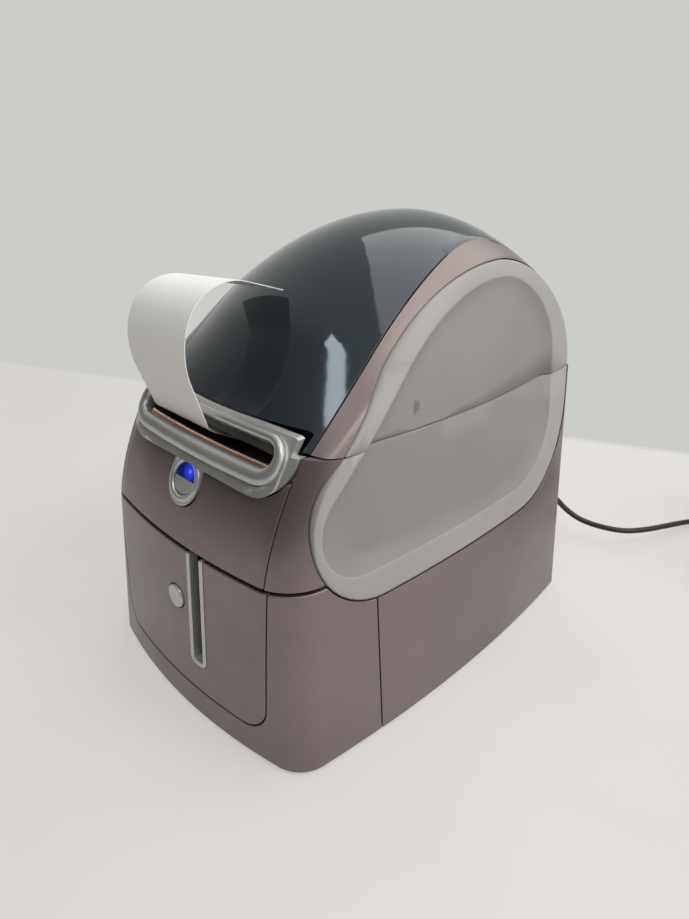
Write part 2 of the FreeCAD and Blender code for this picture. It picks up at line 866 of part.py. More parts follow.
tray_top_z = tray_low_z + tray_floor
cutter_low_z = tray_top_z + rail_height
roller_x = tape_slot_x - tape_roller_r - paper_gap


def cassette_tray():
    """Tray behind the drawer front, with the roller's pin and the cutter's guide."""
    outer = box(-tray_half, tray_half, front_edge_y, tray_back_y, tray_low_z, tray_low_z + tray_height)
    inner = box(-tray_half + tray_side, tray_half - tray_side, front_edge_y, tray_back_y - tray_side,
                tray_top_z, tray_low_z + 2 * tray_height)
    tray = outer.cut(inner).common(envelope(drawer_wall, -prism_low))
    pin = tube((roller_x, tape_roller_y, tray_top_z), (0, 0, 1), tape_roller_pin_r, cutter_height)
    guide = box(roller_x, tape_slot_x + cutter_width + 2 * cutter_park, cutter_y - cutter_guide / 2,
                cutter_y + cutter_guide / 2, tray_top_z, cutter_low_z)
    return fused([tray, pin, guide])


def tape_cassette():
    half = cassette_width / 2
    wire = rounded(-half, half, cassette_front_y, cassette_front_y + cassette_depth, cassette_r, cassette_r,
                   lambda x, y: V(x, y, tray_top_z))
    block = Part.Face(wire).extrude(V(0, 0, cassette_height))
    hubs = [tube((x, hub_y, tray_top_z), (0, 0, 1), hub_r, cassette_height) for x in (spindle_x, -spindle_x)]
    return block.cut(together(hubs))


hub_y = cassette_front_y + cassette_depth / 2


def drive_spindle():
    """Splined spindle that turns the cassette's reel."""
    low = tray_top_z + rail_gap
    hub = tube((spindle_x, hub_y, low), (0, 0, 1), spindle_core_r, spindle_height)
    splines = []
    for k in range(spline_count):
        fin = box(0, spindle_r, -spline_width / 2, spline_width / 2, low, low + spindle_height)
        fin.rotate(V(0, 0, 0), V(0, 0, 1), 360.0 * k / spline_count)
        fin.translate(V(spindle_x, hub_y, 0))
        splines.append(fin)
    return fused([hub] + splines)


def tape_roller():
    low = tray_top_z + rail_gap
    barrel = tube((roller_x, tape_roller_y, low), (0, 0, 1), tape_roller_r, cutter_height - cutter_park)
    bore = tube((roller_x, tape_roller_y, low), (0, 0, 1), tape_roller_pin_r + shaft_fit, cutter_height)
    return barrel.cut(bore)


def tape_head():
    x0 = tape_slot_x + paper_gap
    return box(x0, x0 + tape_head_thick, tape_roller_y - tape_roller_r / 2, tape_roller_y + tape_roller_r,
               tray_top_z, tray_top_z + cutter_height)


def cutter_blade():
    """Blade with a slanted edge, parked beside the tape."""
    x0 = tape_slot_x + cutter_park
    low = cutter_low_z + rail_gap
    points = [V(x0, 0, low), V(x0 + cutter_width, 0, low), V(x0 + cutter_width, 0, low + cutter_height),
              V(x0 + cutter_slant, 0, low + cutter_height), V(x0, 0, low)]
    face = Part.Face(Part.makePolygon(points))
    face.translate(V(0, cutter_y - cutter_thick / 2, 0))
    return face.extrude(V(0, cutter_thick, 0))


pan_top_z = foot_height + pan_thick


def drawer_rails():
    """One rail each side: a wall beside the tray and a ledge below it."""
    rails = []
    for side in (-1, 1):
        x0 = tray_half + rail_gap
        wall_x = sorted((side * x0, side * (x0 + rail_width)))
        ledge_x = sorted((side * (x0 - 2 * rail_width), side * x0))
        upright = box(wall_x[0], wall_x[1], cassette_front_y, tray_back_y, pan_top_z, tray_low_z + rail_height)
        ledge = box(ledge_x[0], ledge_x[1], cassette_front_y, tray_back_y, pan_top_z, tray_low_z - rail_gap)
        rails.append(fused([upright, ledge]))
    return Part.makeCompound(rails)


# Chassis
def post_spots():
    return [(x, y) for x in (-post_x, post_x) for y in (post_front_y, post_rear_y)]


def board_spots():
    inset = post_r
    return [(x, y) for x in (-board_half + inset, board_half - inset)
            for y in (board_front_y + inset, board_back_y - 4 * inset)]


def base_pan():
    slab = below(above(envelope(wall + fit_gap, -prism_low), foot_height), pan_top_z)
    holes = [tube((x, y, 0), (0, 0, 1), screw_r + fit_gap / 2, 2 * pan_top_z) for x, y in post_spots()]
    return slab.cut(together(holes))


def rubber_feet():
    spots = [(x, y) for x in (-foot_x, foot_x) for y in (foot_front_y, foot_rear_y)]
    return Part.makeCompound([tube((x, y, 0), (0, 0, 1), foot_r, foot_height) for x, y in spots])


def chassis_posts():
    posts = []
    for x, y in post_spots():
        bore = tube((x, y, pan_top_z), (0, 0, 1), screw_r, screw_length)
        posts.append(tube((x, y, pan_top_z), (0, 0, 1), post_r, deck_z - pan_top_z).cut(bore))
    for x, y in board_spots():
        posts.append(tube((x, y, pan_top_z), (0, 0, 1), post_r / 2, board_z - pan_top_z))
    return Part.makeCompound(posts)


def pan_screws():
    screws = []
    for x, y in post_spots():
        head = tube((x, y, foot_height - screw_head), (0, 0, 1), screw_head_r, screw_head)
        shank = tube((x, y, foot_height), (0, 0, 1), screw_r, pan_thick + screw_length - fit_gap)
        screws.append(fused([head, shank]))
    return Part.makeCompound(screws)


deck_top_z = deck_z + deck_thick


def label_bay():
    """Deck under the label roll, with two cheeks whose open slots hold the spool."""
    deck = below(above(envelope(panel_wall + fit_gap), deck_z), deck_top_z)
    shapes = [deck]
    for side in (-1, 1):
        x0, x1 = sorted((side * cheek_x, side * (cheek_x + cheek_thick)))
        y0, y1 = spool_y - cheek_depth / 2, spool_y + cheek_depth / 2
        cheek = box(x0, x1, y0, y1, deck_top_z, spool_z + cheek_rise)
        seat_r = journal_r + journal_gap
        seat = tube((x0, spool_y, spool_z), (1, 0, 0), seat_r, cheek_thick)
        mouth = box(x0, x1, spool_y - seat_r, spool_y + seat_r, spool_z, spool_z + 2 * cheek_rise)
        shapes.append(cheek.cut(together([seat, mouth])))
    return fused(shapes)


# Label spool
def along_x(x0, x1, radius, y, z):
    return tube((x0, y, z), (1, 0, 0), radius, x1 - x0)


core_left = label_left_x - flange_thick
core_right = cheek_x - flange_thick
label_right_x = label_left_x + label_width


def spool_core():
    end = cheek_x + cheek_thick
    pieces = [along_x(core_left, core_right, core_r, spool_y, spool_z),
              along_x(core_left, label_left_x, flange_r, spool_y, spool_z),
              along_x(-end, end, journal_r, spool_y, spool_z)]
    return fused(pieces)


def label_roll():
    roll = along_x(label_left_x, label_right_x, roll_r, spool_y, spool_z)
    return roll.cut(along_x(label_left_x, label_right_x, core_r, spool_y, spool_z))


def spool_guide():
    x0 = label_right_x + rail_gap
    x1 = x0 + flange_thick
    disc = along_x(x0, x1, flange_r, spool_y, spool_z)
    sleeve = along_x(x0, x1 + sleeve_length, core_r + sleeve_wall, spool_y, spool_z)
    return fused([disc, sleeve]).cut(along_x(x0, x1 + sleeve_length, core_r + hinge_fit, spool_y, spool_z))


# Label path
path_out = (-math.cos(math.radians(path_rise)), math.sin(math.radians(path_rise)))
path_up = (math.sin(math.radians(path_rise)), math.cos(math.radians(path_rise)))


def beside_path(forward, up):
    """A point (y, z) given along the label path from the nip and square to it."""
    return (nip_y + forward * path_out[0] + up * path_up[0], nip_z + forward * path_out[1] + up * path_up[1])


def path_block(half, forward0, forward1, up0, up1):
    spots = ((forward0, up0), (forward1, up0), (forward1, up1), (forward0, up1))
    corners = [beside_path(f, u) for f, u in spots]
    wire = Part.makePolygon([V(-half, y, z) for y, z in corners + corners[:1]])
    return Part.Face(wire).extrude(V(2 * half, 0, 0))


def arc_from(point, heading, radius, turn):
    """Arc in the side view that leaves a point at a heading and turns right by some degrees."""
    centre = polar(point, radius, heading - 90)
    ends = [polar(centre, radius, heading + 90 - part * turn) for part in (0.5, 1.0)]
    return [point] + ends, ends[1], heading - turn


def label_strip():
    """Label web: off the bottom of the roll, through the nip and the slot, and into its outer curl."""
    out_heading = 180.0 - path_rise
    guide = beside_path(-strip_guide_back, 0.0)
    slot_spot = beside_path(strip_slot_run, 0.0)
    away = math.hypot(guide[0] - spool_y, guide[1] - spool_z)
    toward = math.degrees(math.atan2(guide[1] - spool_z, guide[0] - spool_y))
    leave_r = roll_r + paper_gap + paper_thick
    roll_bottom = polar((spool_y, spool_z), leave_r, toward + math.degrees(math.acos(leave_r / away)))
    back = math.degrees(math.atan2(guide[1] - roll_bottom[1], guide[0] - roll_bottom[0]))
    before, after = polar(guide, strip_bend_run, back + 180), polar(guide, strip_bend_run, out_heading)
    steps = [(roll_bottom, before), smooth_corner(before, guide, after), (after, slot_spot)]
    turn, spot, heading = arc_from(slot_spot, out_heading, strip_bend_r, out_heading - strip_angle)
    steps.append(tuple(turn))
    straight_end = polar(spot, strip_straight, heading)
    steps.append((spot, straight_end))
    curl, spot, heading = arc_from(straight_end, heading, strip_curl_r, strip_curl_turn)
    steps.append(tuple(curl))
    steps.append((spot, polar(spot, strip_tail, heading)))
    path = outline(steps, lambda y, z: V(label_left_x, y, z))
    ribbon = path.makeOffset2D(paper_thick, fill=True, openResult=True)
    print("label strip length %.1f, thickness %.2f" % (path.Length, ribbon.Area / path.Length))
    return ribbon.extrude(V(label_width, 0, 0))


def smooth_corner(p, corner, q):
    """Arc that joins two equal runs at a corner."""
    turn = [(p[0] - corner[0], p[1] - corner[1]), (q[0] - corner[0], q[1] - corner[1])]
    a, b = unit(*turn[0]), unit(*turn[1])
    middle = unit(a[0] + b[0], a[1] + b[1])
    half = math.acos(max(-1.0, min(1.0, a[0] * middle[0] + a[1] * middle[1])))
    run = math.hypot(*turn[0])
    gap = run / math.cos(half) - run * math.tan(half)
    return p, (corner[0] + middle[0] * gap, corner[1] + middle[1] * gap), q


platen_y, platen_z = beside_path(0.0, -(platen_r + paper_gap + paper_thick / 2))
pivot_y, pivot_z = beside_path(-head_pivot_back, head_pivot_up)
gear_left = frame_x + frame_thick + gear_gap
gear_right = gear_left + gear_width


def pitch_r(teeth):
    return gear_module * teeth / 2


idler_y, idler_z = polar((platen_y, platen_z), pitch_r(platen_teeth) + pitch_r(idler_teeth), idler_angle)
pinion_y, pinion_z = polar((idler_y, idler_z), pitch_r(idler_teeth) + pitch_r(pinion_teeth), pinion_angle)


def mesh_phases():
    """Angle of one tooth on each gear, so that all three are in mesh at rest."""
    platen = idler_angle
    idler = idler_angle + 180.0 + 180.0 / idler_teeth
    pitch = 360.0 / idler_teeth
    nearest = round((pinion_angle - idler) / pitch) * pitch + idler - pinion_angle
    pinion = pinion_angle + 180.0 - nearest * idler_teeth / pinion_teeth + 180.0 / pinion_teeth
    return platen, idler, pinion


def gear(teeth, bore, y, z, phase):
    """Spur gear across X with plain straight-sided teeth."""
    root, tip = pitch_r(teeth) - gear_dedendum * gear_module, pitch_r(teeth) + gear_addendum * gear_module
    step = 360.0 / teeth
    points = []
    for k in range(teeth):
        for radius, shift in ((root, -tooth_foot), (tip, -tooth_tip), (tip, tooth_tip), (root, tooth_foot)):
            py, pz = polar((y, z), radius, phase + (k + shift) * step)
            points.append(V(gear_left, py, pz))
    face = Part.Face(Part.makePolygon(points + points[:1]))
    return face.extrude(V(gear_width, 0, 0)).cut(along_x(gear_left, gear_right, bore, y, z))


def mech_frame():
    """Two cheeks on the deck that carry the platen, the head and the gears."""
    tie_y = frame_back_y - frame_tie_depth
    shapes = [box(-frame_x, frame_x, tie_y, frame_back_y, deck_top_z, deck_top_z + frame_tie)]
    for side in (-1, 1):
        x0, x1 = sorted((side * frame_x, side * (frame_x + frame_thick)))
        front = box(x0, x1, frame_front_y, frame_step_y, deck_top_z, frame_low_z)
        rear = box(x0, x1, frame_step_y, frame_back_y, deck_top_z, frame_top_z)
        shapes += [front, rear]
    across = frame_x + frame_thick
    bores = [along_x(-across, across, shaft_r + shaft_fit, platen_y, platen_z),
             along_x(-across, across, shaft_r, pivot_y, pivot_z)]
    return fused(shapes).cut(together(bores))


def platen_shaft():
    return along_x(-frame_x - frame_thick - gear_gap, gear_right + gear_gap, shaft_r, platen_y, platen_z)


def platen_roller():
    sleeve = along_x(-platen_half, platen_half, platen_r, platen_y, platen_z)
    return sleeve.cut(along_x(-platen_half, platen_half, shaft_r, platen_y, platen_z))


def idler_post():
    return along_x(frame_x + frame_thick, gear_right + gear_gap / 2, shaft_r, idler_y, idler_z)


motor_left = gear_right + 2 * gear_gap


def motor_pinion(phase):
    shaft = along_x(gear_left, motor_left - rail_gap, motor_shaft_r, pinion_y, pinion_z)
    return fused([gear(pinion_teeth, motor_shaft_r, pinion_y, pinion_z, phase), shaft])


def stepper_motor():
    """Round motor with a flange on two standoffs from the frame."""
    flange_half = motor_r + 2 * motor_stand_r
    can = along_x(motor_left, motor_left + motor_length, motor_r, pinion_y, pinion_z)
    ear_z = flange_half - motor_stand_r
    flange = box(motor_left, motor_left + motor_flange, pinion_y - motor_boss_r, pinion_y + motor_boss_r,
                 pinion_z - flange_half, pinion_z + flange_half)
    stands = [along_x(frame_x + frame_thick, motor_left, motor_stand_r, pinion_y, pinion_z + side * ear_z)
              for side in (-1, 1)]
    return fused([can, flange] + stands)


head_low = paper_gap + paper_thick / 2
head_top = head_low + head_thick
sink_top = head_top + sink_thick


def print_head():
    return path_block(head_half, -head_back, head_front, head_low, head_top)


def heat_sink():
    """Aluminium block with fins along the label path."""
    block = path_block(head_half - sink_inset, -head_back, head_front - sink_inset, head_top, sink_top)
    pitch = sink_fin + sink_slot
    count = int(2 * (head_half - sink_inset) / pitch) - 1
    slots = []
    for k in range(count):
        slot = path_block(sink_slot / 2, -2 * head_back, 2 * head_front, head_top + sink_fin, 2 * sink_top)
        slot.translate(V((k - (count - 1) / 2) * pitch, 0, 0))
        slots.append(slot)
    return block.cut(together(slots))


def head_carrier():
    """Cover over the heat sink with two arms to the pivot shaft."""
    arm_out = head_half + rail_gap + head_arm
    far = head_pivot_back + shaft_r + head_arm
    cover = path_block(arm_out, -far, 0.0, sink_top, sink_top + carrier_cover)
    arms = path_block(arm_out, -far, head_front - sink_inset, head_low + carrier_lift, sink_top)
    gap = path_block(head_half + rail_gap, -2 * far, 2 * far, 0.0, sink_top)
    bore = along_x(-arm_out, arm_out, shaft_r + shaft_fit, pivot_y, pivot_z)
    return fused([cover, arms.cut(gap)]).cut(bore)


def head_shaft():
    across = frame_x + frame_thick
    return along_x(-across, across, shaft_r, pivot_y, pivot_z)


def release_lever():
    """Lever on top of the head carrier, with a round grip across it."""
    x1 = head_half
    y, z = beside_path(-head_back / 2, sink_top)
    arm = box(x1 - lever_thick, x1, y - lever_width / 2, y + lever_width / 2, z - lever_width, lever_top_z)
    under = path_block(2 * head_half, -2 * head_back, 2 * head_back, -sink_top, sink_top + carrier_cover)
    grip = along_x(x1 - lever_thick - lever_grip, x1, lever_knob_r, y, lever_top_z)
    return fused([arm.cut(under), grip])


def label_sensor():
    """Gap sensor on the frame's tie, just under the label web."""
    low = deck_top_z + frame_tie
    y1 = frame_back_y - (frame_tie_depth - sensor_depth) / 2
    return box(sensor_left_x, sensor_left_x + sensor_width, y1 - sensor_depth, y1, low, low + sensor_height)


# Electronics
board_top_z = board_z + board_thick


def main_board():
    return box(-board_half, board_half, board_front_y, board_back_y, board_z, board_top_z)


def board_chips():
    return Part.makeCompound([box(x - w / 2, x + w / 2, y - d / 2, y + d / 2, board_top_z, board_top_z + h)
                              for x, y, w, d, h in chips])


def power_socket():
    face_y = rear_edge_y - wall / 4
    case = box(jack_x - jack_width / 2, jack_x + jack_width / 2, face_y - jack_depth, face_y,
               board_top_z, jack_z + jack_width / 2)
    bore_y = face_y - jack_depth + socket_back
    return case.cut(tube((jack_x, bore_y, jack_z), (0, 1, 0), jack_bore_r, jack_depth))


def data_socket():
    face_y = rear_edge_y - wall / 4
    x0, x1 = usb_x - usb_width / 2, usb_x + usb_width / 2
    case = box(x0, x1, face_y - usb_depth, face_y, board_top_z, board_top_z + usb_height)
    hollow = box(x0 + usb_shell, x1 - usb_shell, face_y - usb_depth + socket_back, rear_edge_y,
                 board_top_z + usb_shell, board_top_z + usb_height - usb_shell)
    middle_z = board_top_z + usb_height / 2
    tongue = box(usb_x - usb_tongue_width / 2, usb_x + usb_tongue_width / 2, face_y - usb_depth, face_y - usb_recess,
                 middle_z - usb_tongue_height / 2, middle_z + usb_tongue_height / 2)
    return fused([case.cut(hollow), tongue])


# Power lead
def power_plug():
    """Barrel plug in the socket, with a tapered strain relief."""
    start = rear_edge_y + fit_gap
    relief = start + plug_length
    tip = tube((jack_x, start - plug_tip, jack_z), (0, 1, 0), plug_tip_r, plug_tip)
    grip = tube((jack_x, start, jack_z), (0, 1, 0), plug_r, plug_length)
    taper = Part.makeCone(relief_root_r, relief_tip_r, relief_length, V(jack_x, relief, jack_z), V(0, 1, 0))
    return fused([tip, grip, taper])


def rounded_route(points):
    """Straight runs joined by tangent arcs, each as large as its two runs allow."""
    edges, radii = [], []
    here = points[0]
    for before, corner, after in zip(points, points[1:], points[2:]):
        a, b = (before - corner), (after - corner)
        run = bend_share * min(a.Length, b.Length)
        a.normalize()
        b.normalize()
        half_turn = (math.pi - a.getAngle(b)) / 2
        radius = run / math.tan(half_turn)
        middle = a + b
        middle.normalize()
        start, end = corner + a * run, corner + b * run
        apex = corner + middle * (radius / math.cos(half_turn) - radius)
        edges.append(Part.LineSegment(here, start).toShape())
        edges.append(Part.Arc(start, apex, end).toShape())
        radii.append(radius)
        here = end
    edges.append(Part.LineSegment(here, points[-1]).toShape())
    return Part.Wire(edges), radii


def lead_tube(path, start, heading):
    ring = Part.Wire(Part.Circle(start, heading, lead_r).toShape())
    return path.makePipeShell([ring], True, False)


def power_lead():
    points = [V(*p) for p in lead_points]
    path, radii = rounded_route(points)
    solid = lead_tube(path, points[0], points[1] - points[0])
    print("lead radii", ["%.0f" % r for r in radii])
    print("lead length %.1f, volume ratio %.4f" % (path.Length, solid.Volume / (path.Length * math.pi * lead_r ** 2)))
    return solid


lead_end = V(*lead_points[-1])
coil_span = coil_turns * coil_pitch
coil_r_outer = coil_r_inner + coil_span
coil_centre = V(lead_end.x + coil_r_outer, lead_end.y + 2 * lead_r, lead_end.z)
layer_turns = coil_turns + coil_climb
coil_total = coil_layers * layer_turns - coil_climb


def coil_radius(turns):
    layer = min(int(turns / layer_turns), coil_layers - 1)
    part = min(turns - layer * layer_turns, coil_turns)
    inward = layer % 2 == 0
    return coil_r_outer - coil_pitch * part if inward else coil_r_inner + coil_pitch * part


def coil_height(turns):
    layer = min(int(turns / layer_turns), coil_layers - 1)
    climb = max(0.0, turns - layer * layer_turns - coil_turns) / coil_climb
    return coil_step * (layer + climb * climb * (3 - 2 * climb))


def coil_point(turns):
    angle = math.pi - 2 * math.pi * turns
    r = coil_radius(turns)
    return coil_centre + V(r * math.cos(angle), r * math.sin(angle), coil_height(turns))


def coil_heading(turns):
    small = 0.002
    low, high = max(0.0, turns - small), min(coil_total, turns + small)
    if low == 0.0:
        return V(0, 1, 0)
    if high == coil_total:
        return V(0, -1, 0)
    heading = coil_point(high) - coil_point(low)
    heading.normalize()
    return heading


def arc_toward(start, heading, end):
    """Arc that leaves a point at a heading and reaches another point."""
    chord = end - start
    middle = heading + chord * (1 / chord.Length)
    middle.normalize()
    lean = heading.getAngle(chord)
    reach_mid = chord.Length / 2 / math.cos(lean / 2)
    return Part.Arc(start, start + middle * reach_mid, end).toShape()


def biarc(p0, t0, p1, t1):
    """Two arcs that join two points and keep both headings."""
    v = p1 - p0
    t = t0 + t1
    a = 2 * (1 - t0.dot(t1))
    b = 2 * v.dot(t)
    c = -v.dot(v)
    d = v.dot(v) / (2 * v.dot(t1)) if abs(a) < 1e-9 else (-b + math.sqrt(b * b - 4 * a * c)) / (2 * a)
    joint = (p0 + p1 + (t0 - t1) * d) * 0.5
    return [arc_toward(p0, t0, joint), arc_toward(p1, t1 * -1, joint)]


def power_lead_coil():
    """Put-away length: layers that spiral in and out, climbing where the spiral reverses."""
    steps = int(round(coil_total * coil_spots))
    spots = [coil_point(k / coil_spots) for k in range(steps + 1)]
    ways = [coil_heading(k / coil_spots) for k in range(steps + 1)]
    edges = [Part.LineSegment(lead_end, spots[0]).toShape()]
    for k in range(steps):
        edges += biarc(spots[k], ways[k], spots[k + 1], ways[k + 1])
    edges.append(Part.LineSegment(spots[-1], spots[-1] + ways[-1] * 2 * lead_r).toShape())
    path = Part.Wire(Part.__sortEdges__(edges))
    print("coil length %.0f, least gap %.2f" % (path.Length, coil_gap()))
    return lead_tube(path, lead_end, V(0, 1, 0))


def coil_gap():
    """Least clear distance between turns, measured on points along the coil."""
    per_turn = 48
    spots = [coil_point(k / per_turn) for k in range(int(coil_total * per_turn) + 1)]
    least = coil_r_outer
    for i in range(0, len(spots), 2):
        for j in range(i + per_turn // 2, len(spots)):
            least = min(least, spots[i].distanceToPoint(spots[j]))
    return least - 2 * lead_r


coil_exit = coil_point(coil_total) + V(0, -2 * lead_r, 0)


def adapter_case():
    """Plug-in adapter on the table, with the strain relief that the lead ends in."""
    back_y = coil_exit.y - adapter_relief
    x0, x1 = coil_exit.x - adapter_width / 2, coil_exit.x + adapter_width / 2
    wire = rounded(x0, x1, 0.0, adapter_height, adapter_r, adapter_r, lambda x, z: V(x, 0, z))
    case = from_front(wire, back_y - adapter_length, back_y)
    relief = Part.makeCone(adapter_relief_r, lead_r + adapter_relief_tip, adapter_relief, V(coil_exit.x, back_y, coil_exit.z),
                           V(0, 1, 0))
    return fused([case, relief])


def adapter_pins():
    face_y = coil_exit.y - adapter_relief - adapter_length
    pins = []
    for side in (-1, 1):
        x = coil_exit.x + side * adapter_pin_spacing / 2
        pins.append(box(x - adapter_pin_thick / 2, x + adapter_pin_thick / 2, face_y - adapter_pin_length, face_y,
                        coil_exit.z - adapter_pin_width / 2, coil_exit.z + adapter_pin_width / 2))
    return Part.makeCompound(pins)


os.makedirs("parts", exist_ok=True)
shell = body_shell()
save("front_base_shell", front_base_shell(shell))
save("rear_body_shell", rear_body_shell(shell))
save("upper_front_panel", upper_front_panel(shell))
lid = lid_shell()
save("lid_window", lid_window(lid))
save("lid_frame", lid_frame(lid))
save("hinge_pins", hinge_pins())
for side, name in ((-1, "left"), (1, "right")):
    save("shoulder_" + name, shoulder(shell, side))
    save("side_panel_lower_" + name, side_panel(side, False))
    save("side_panel_upper_" + name, side_panel(side, True))
save("exit_bezel", exit_bezel())
save("tear_bar", tear_bar())
button, lens = feed_button()
save("feed_button", button)
save("feed_button_lens", lens)
platen_phase, idler_phase, pinion_phase = mesh_phases()
save("platen_gear", gear(platen_teeth, shaft_r, platen_y, platen_z, platen_phase))
save("idler_gear", gear(idler_teeth, shaft_r + shaft_fit, idler_y, idler_z, idler_phase))
save("motor_pinion", motor_pinion(pinion_phase))
for make in (drawer_front, tape_slot_trim, eject_button, cassette_tray, tape_cassette, drive_spindle, tape_roller,
             tape_head, cutter_blade, drawer_rails, base_pan, rubber_feet, chassis_posts, pan_screws, label_bay,
             spool_core, label_roll, spool_guide, label_strip, mech_frame, platen_shaft, platen_roller, idler_post,
             stepper_motor, print_head, heat_sink, head_carrier, head_shaft, release_lever, label_sensor, main_board,
             board_chips, power_socket, data_socket, power_plug, power_lead, power_lead_coil, adapter_case,
             adapter_pins):
    save(make.__name__, make())
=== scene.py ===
import json
import math

import bmesh
import bpy
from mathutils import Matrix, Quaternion, Vector


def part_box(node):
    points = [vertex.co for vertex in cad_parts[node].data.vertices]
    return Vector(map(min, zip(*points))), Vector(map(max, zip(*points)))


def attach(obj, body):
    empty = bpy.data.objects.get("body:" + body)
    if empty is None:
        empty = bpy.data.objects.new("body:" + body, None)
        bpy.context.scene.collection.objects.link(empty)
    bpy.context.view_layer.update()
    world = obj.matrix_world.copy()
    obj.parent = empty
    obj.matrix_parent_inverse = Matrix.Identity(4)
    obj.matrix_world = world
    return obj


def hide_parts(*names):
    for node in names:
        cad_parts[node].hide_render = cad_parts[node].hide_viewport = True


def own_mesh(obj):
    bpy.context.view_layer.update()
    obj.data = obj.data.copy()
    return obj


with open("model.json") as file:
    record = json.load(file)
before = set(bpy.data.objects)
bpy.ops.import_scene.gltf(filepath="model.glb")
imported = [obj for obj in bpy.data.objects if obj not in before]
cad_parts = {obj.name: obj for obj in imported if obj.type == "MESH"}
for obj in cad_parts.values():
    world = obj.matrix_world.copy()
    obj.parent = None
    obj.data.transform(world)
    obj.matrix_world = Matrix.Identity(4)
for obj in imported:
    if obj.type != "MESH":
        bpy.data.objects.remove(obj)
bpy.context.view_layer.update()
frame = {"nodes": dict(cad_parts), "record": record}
MM = 0.001

# Camera, light and table
CAMERA_SPOT = Vector((0.18864, -0.19207, 0.20814))
CAMERA_AIM = Vector((-0.00103, 0.00125, 0.07909))
CAMERA_ROLL = 0.0168
CAMERA_LENS = 25.58
TABLE_EDGE = Vector((-0.22, 0.182, 0.0))
TABLE_TURN = 26.5
TABLE_REACH = 30.0
SENSOR = 36.0
SKY_TOWARD = (0.10, 0.85, 0.50)
SKY_SPAN = (-0.42, 0.15)
SKY_STRENGTH = (0.03, 0.72)
SKY_COLOUR = (0.832, 0.848, 0.81, 1)
WARM = (1.0, 0.98, 0.96)

# Places on the printer
ROLL_AXIS = (0.026, 0.118)
LENS_SPOT = (0.0022, -0.0826, 0.1030)
ROLL_HOLE = 12.0
ROLL_RING = 0.0007


def put_camera():
    lens = bpy.data.cameras.new("camera")
    lens.lens = CAMERA_LENS
    lens.sensor_width = SENSOR
    lens.clip_start = 0.01
    camera = bpy.data.objects.new("camera", lens)
    camera.location = CAMERA_SPOT
    aim = (CAMERA_AIM - CAMERA_SPOT).to_track_quat("-Z", "Y")
    camera.rotation_euler = (aim @ Quaternion((0, 0, 1), CAMERA_ROLL)).to_euler()
    bpy.context.scene.collection.objects.link(camera)
    bpy.context.scene.camera = camera


def soft_lamp(name, spot, aim, size, watts, tint):
    lamp = bpy.data.lights.new(name, "AREA")
    lamp.shape = "RECTANGLE"
    lamp.size, lamp.size_y = size
    lamp.energy = watts
    lamp.color = tint
    holder = bpy.data.objects.new(name, lamp)
    holder.location = spot
    holder.rotation_euler = (Vector(aim) - Vector(spot)).to_track_quat("-Z", "Y").to_euler()
    bpy.context.scene.collection.objects.link(holder)


def put_lights():
    """Pale sky, darker on the side of the camera, and four soft lamps."""
    bpy.context.scene.view_settings.view_transform = "Standard"
    world = bpy.data.worlds.new("room")
    bpy.context.scene.world = world
    world.use_nodes = True
    nodes, links = world.node_tree.nodes, world.node_tree.links
    sky = nodes["Background"]
    way = nodes.new("ShaderNodeTexCoord")
    toward = nodes.new("ShaderNodeVectorMath")
    toward.operation = "DOT_PRODUCT"
    toward.inputs[1].default_value = SKY_TOWARD
    shade = nodes.new("ShaderNodeMapRange")
    shade.inputs["From Min"].default_value, shade.inputs["From Max"].default_value = SKY_SPAN
    shade.inputs["To Min"].default_value, shade.inputs["To Max"].default_value = SKY_STRENGTH
    links.new(way.outputs["Generated"], toward.inputs[0])
    links.new(toward.outputs["Value"], shade.inputs["Value"])
    links.new(shade.outputs["Result"], sky.inputs["Strength"])
    sky.inputs["Color"].default_value = SKY_COLOUR
    soft_lamp("lamp_above", (0.25, 0.30, 0.95), (0, 0, 0.05), (1.8, 1.0), 7.6, WARM)
    soft_lamp("lamp_right", (0.9, 0.30, 0.45), (0, 0, 0.08), (0.5, 0.8), 2.6, (1.0, 0.98, 0.95))
    soft_lamp("lamp_arch", (0.42, -0.14, 0.92), (0, 0, 0.12), (0.9, 0.05), 1.6, WARM)
    soft_lamp("lamp_glint", (-0.09, -0.51, 1.02), (0.036, -0.042, 0.144), (0.24, 0.10), 0.45,
              (0.94, 0.97, 1.0))


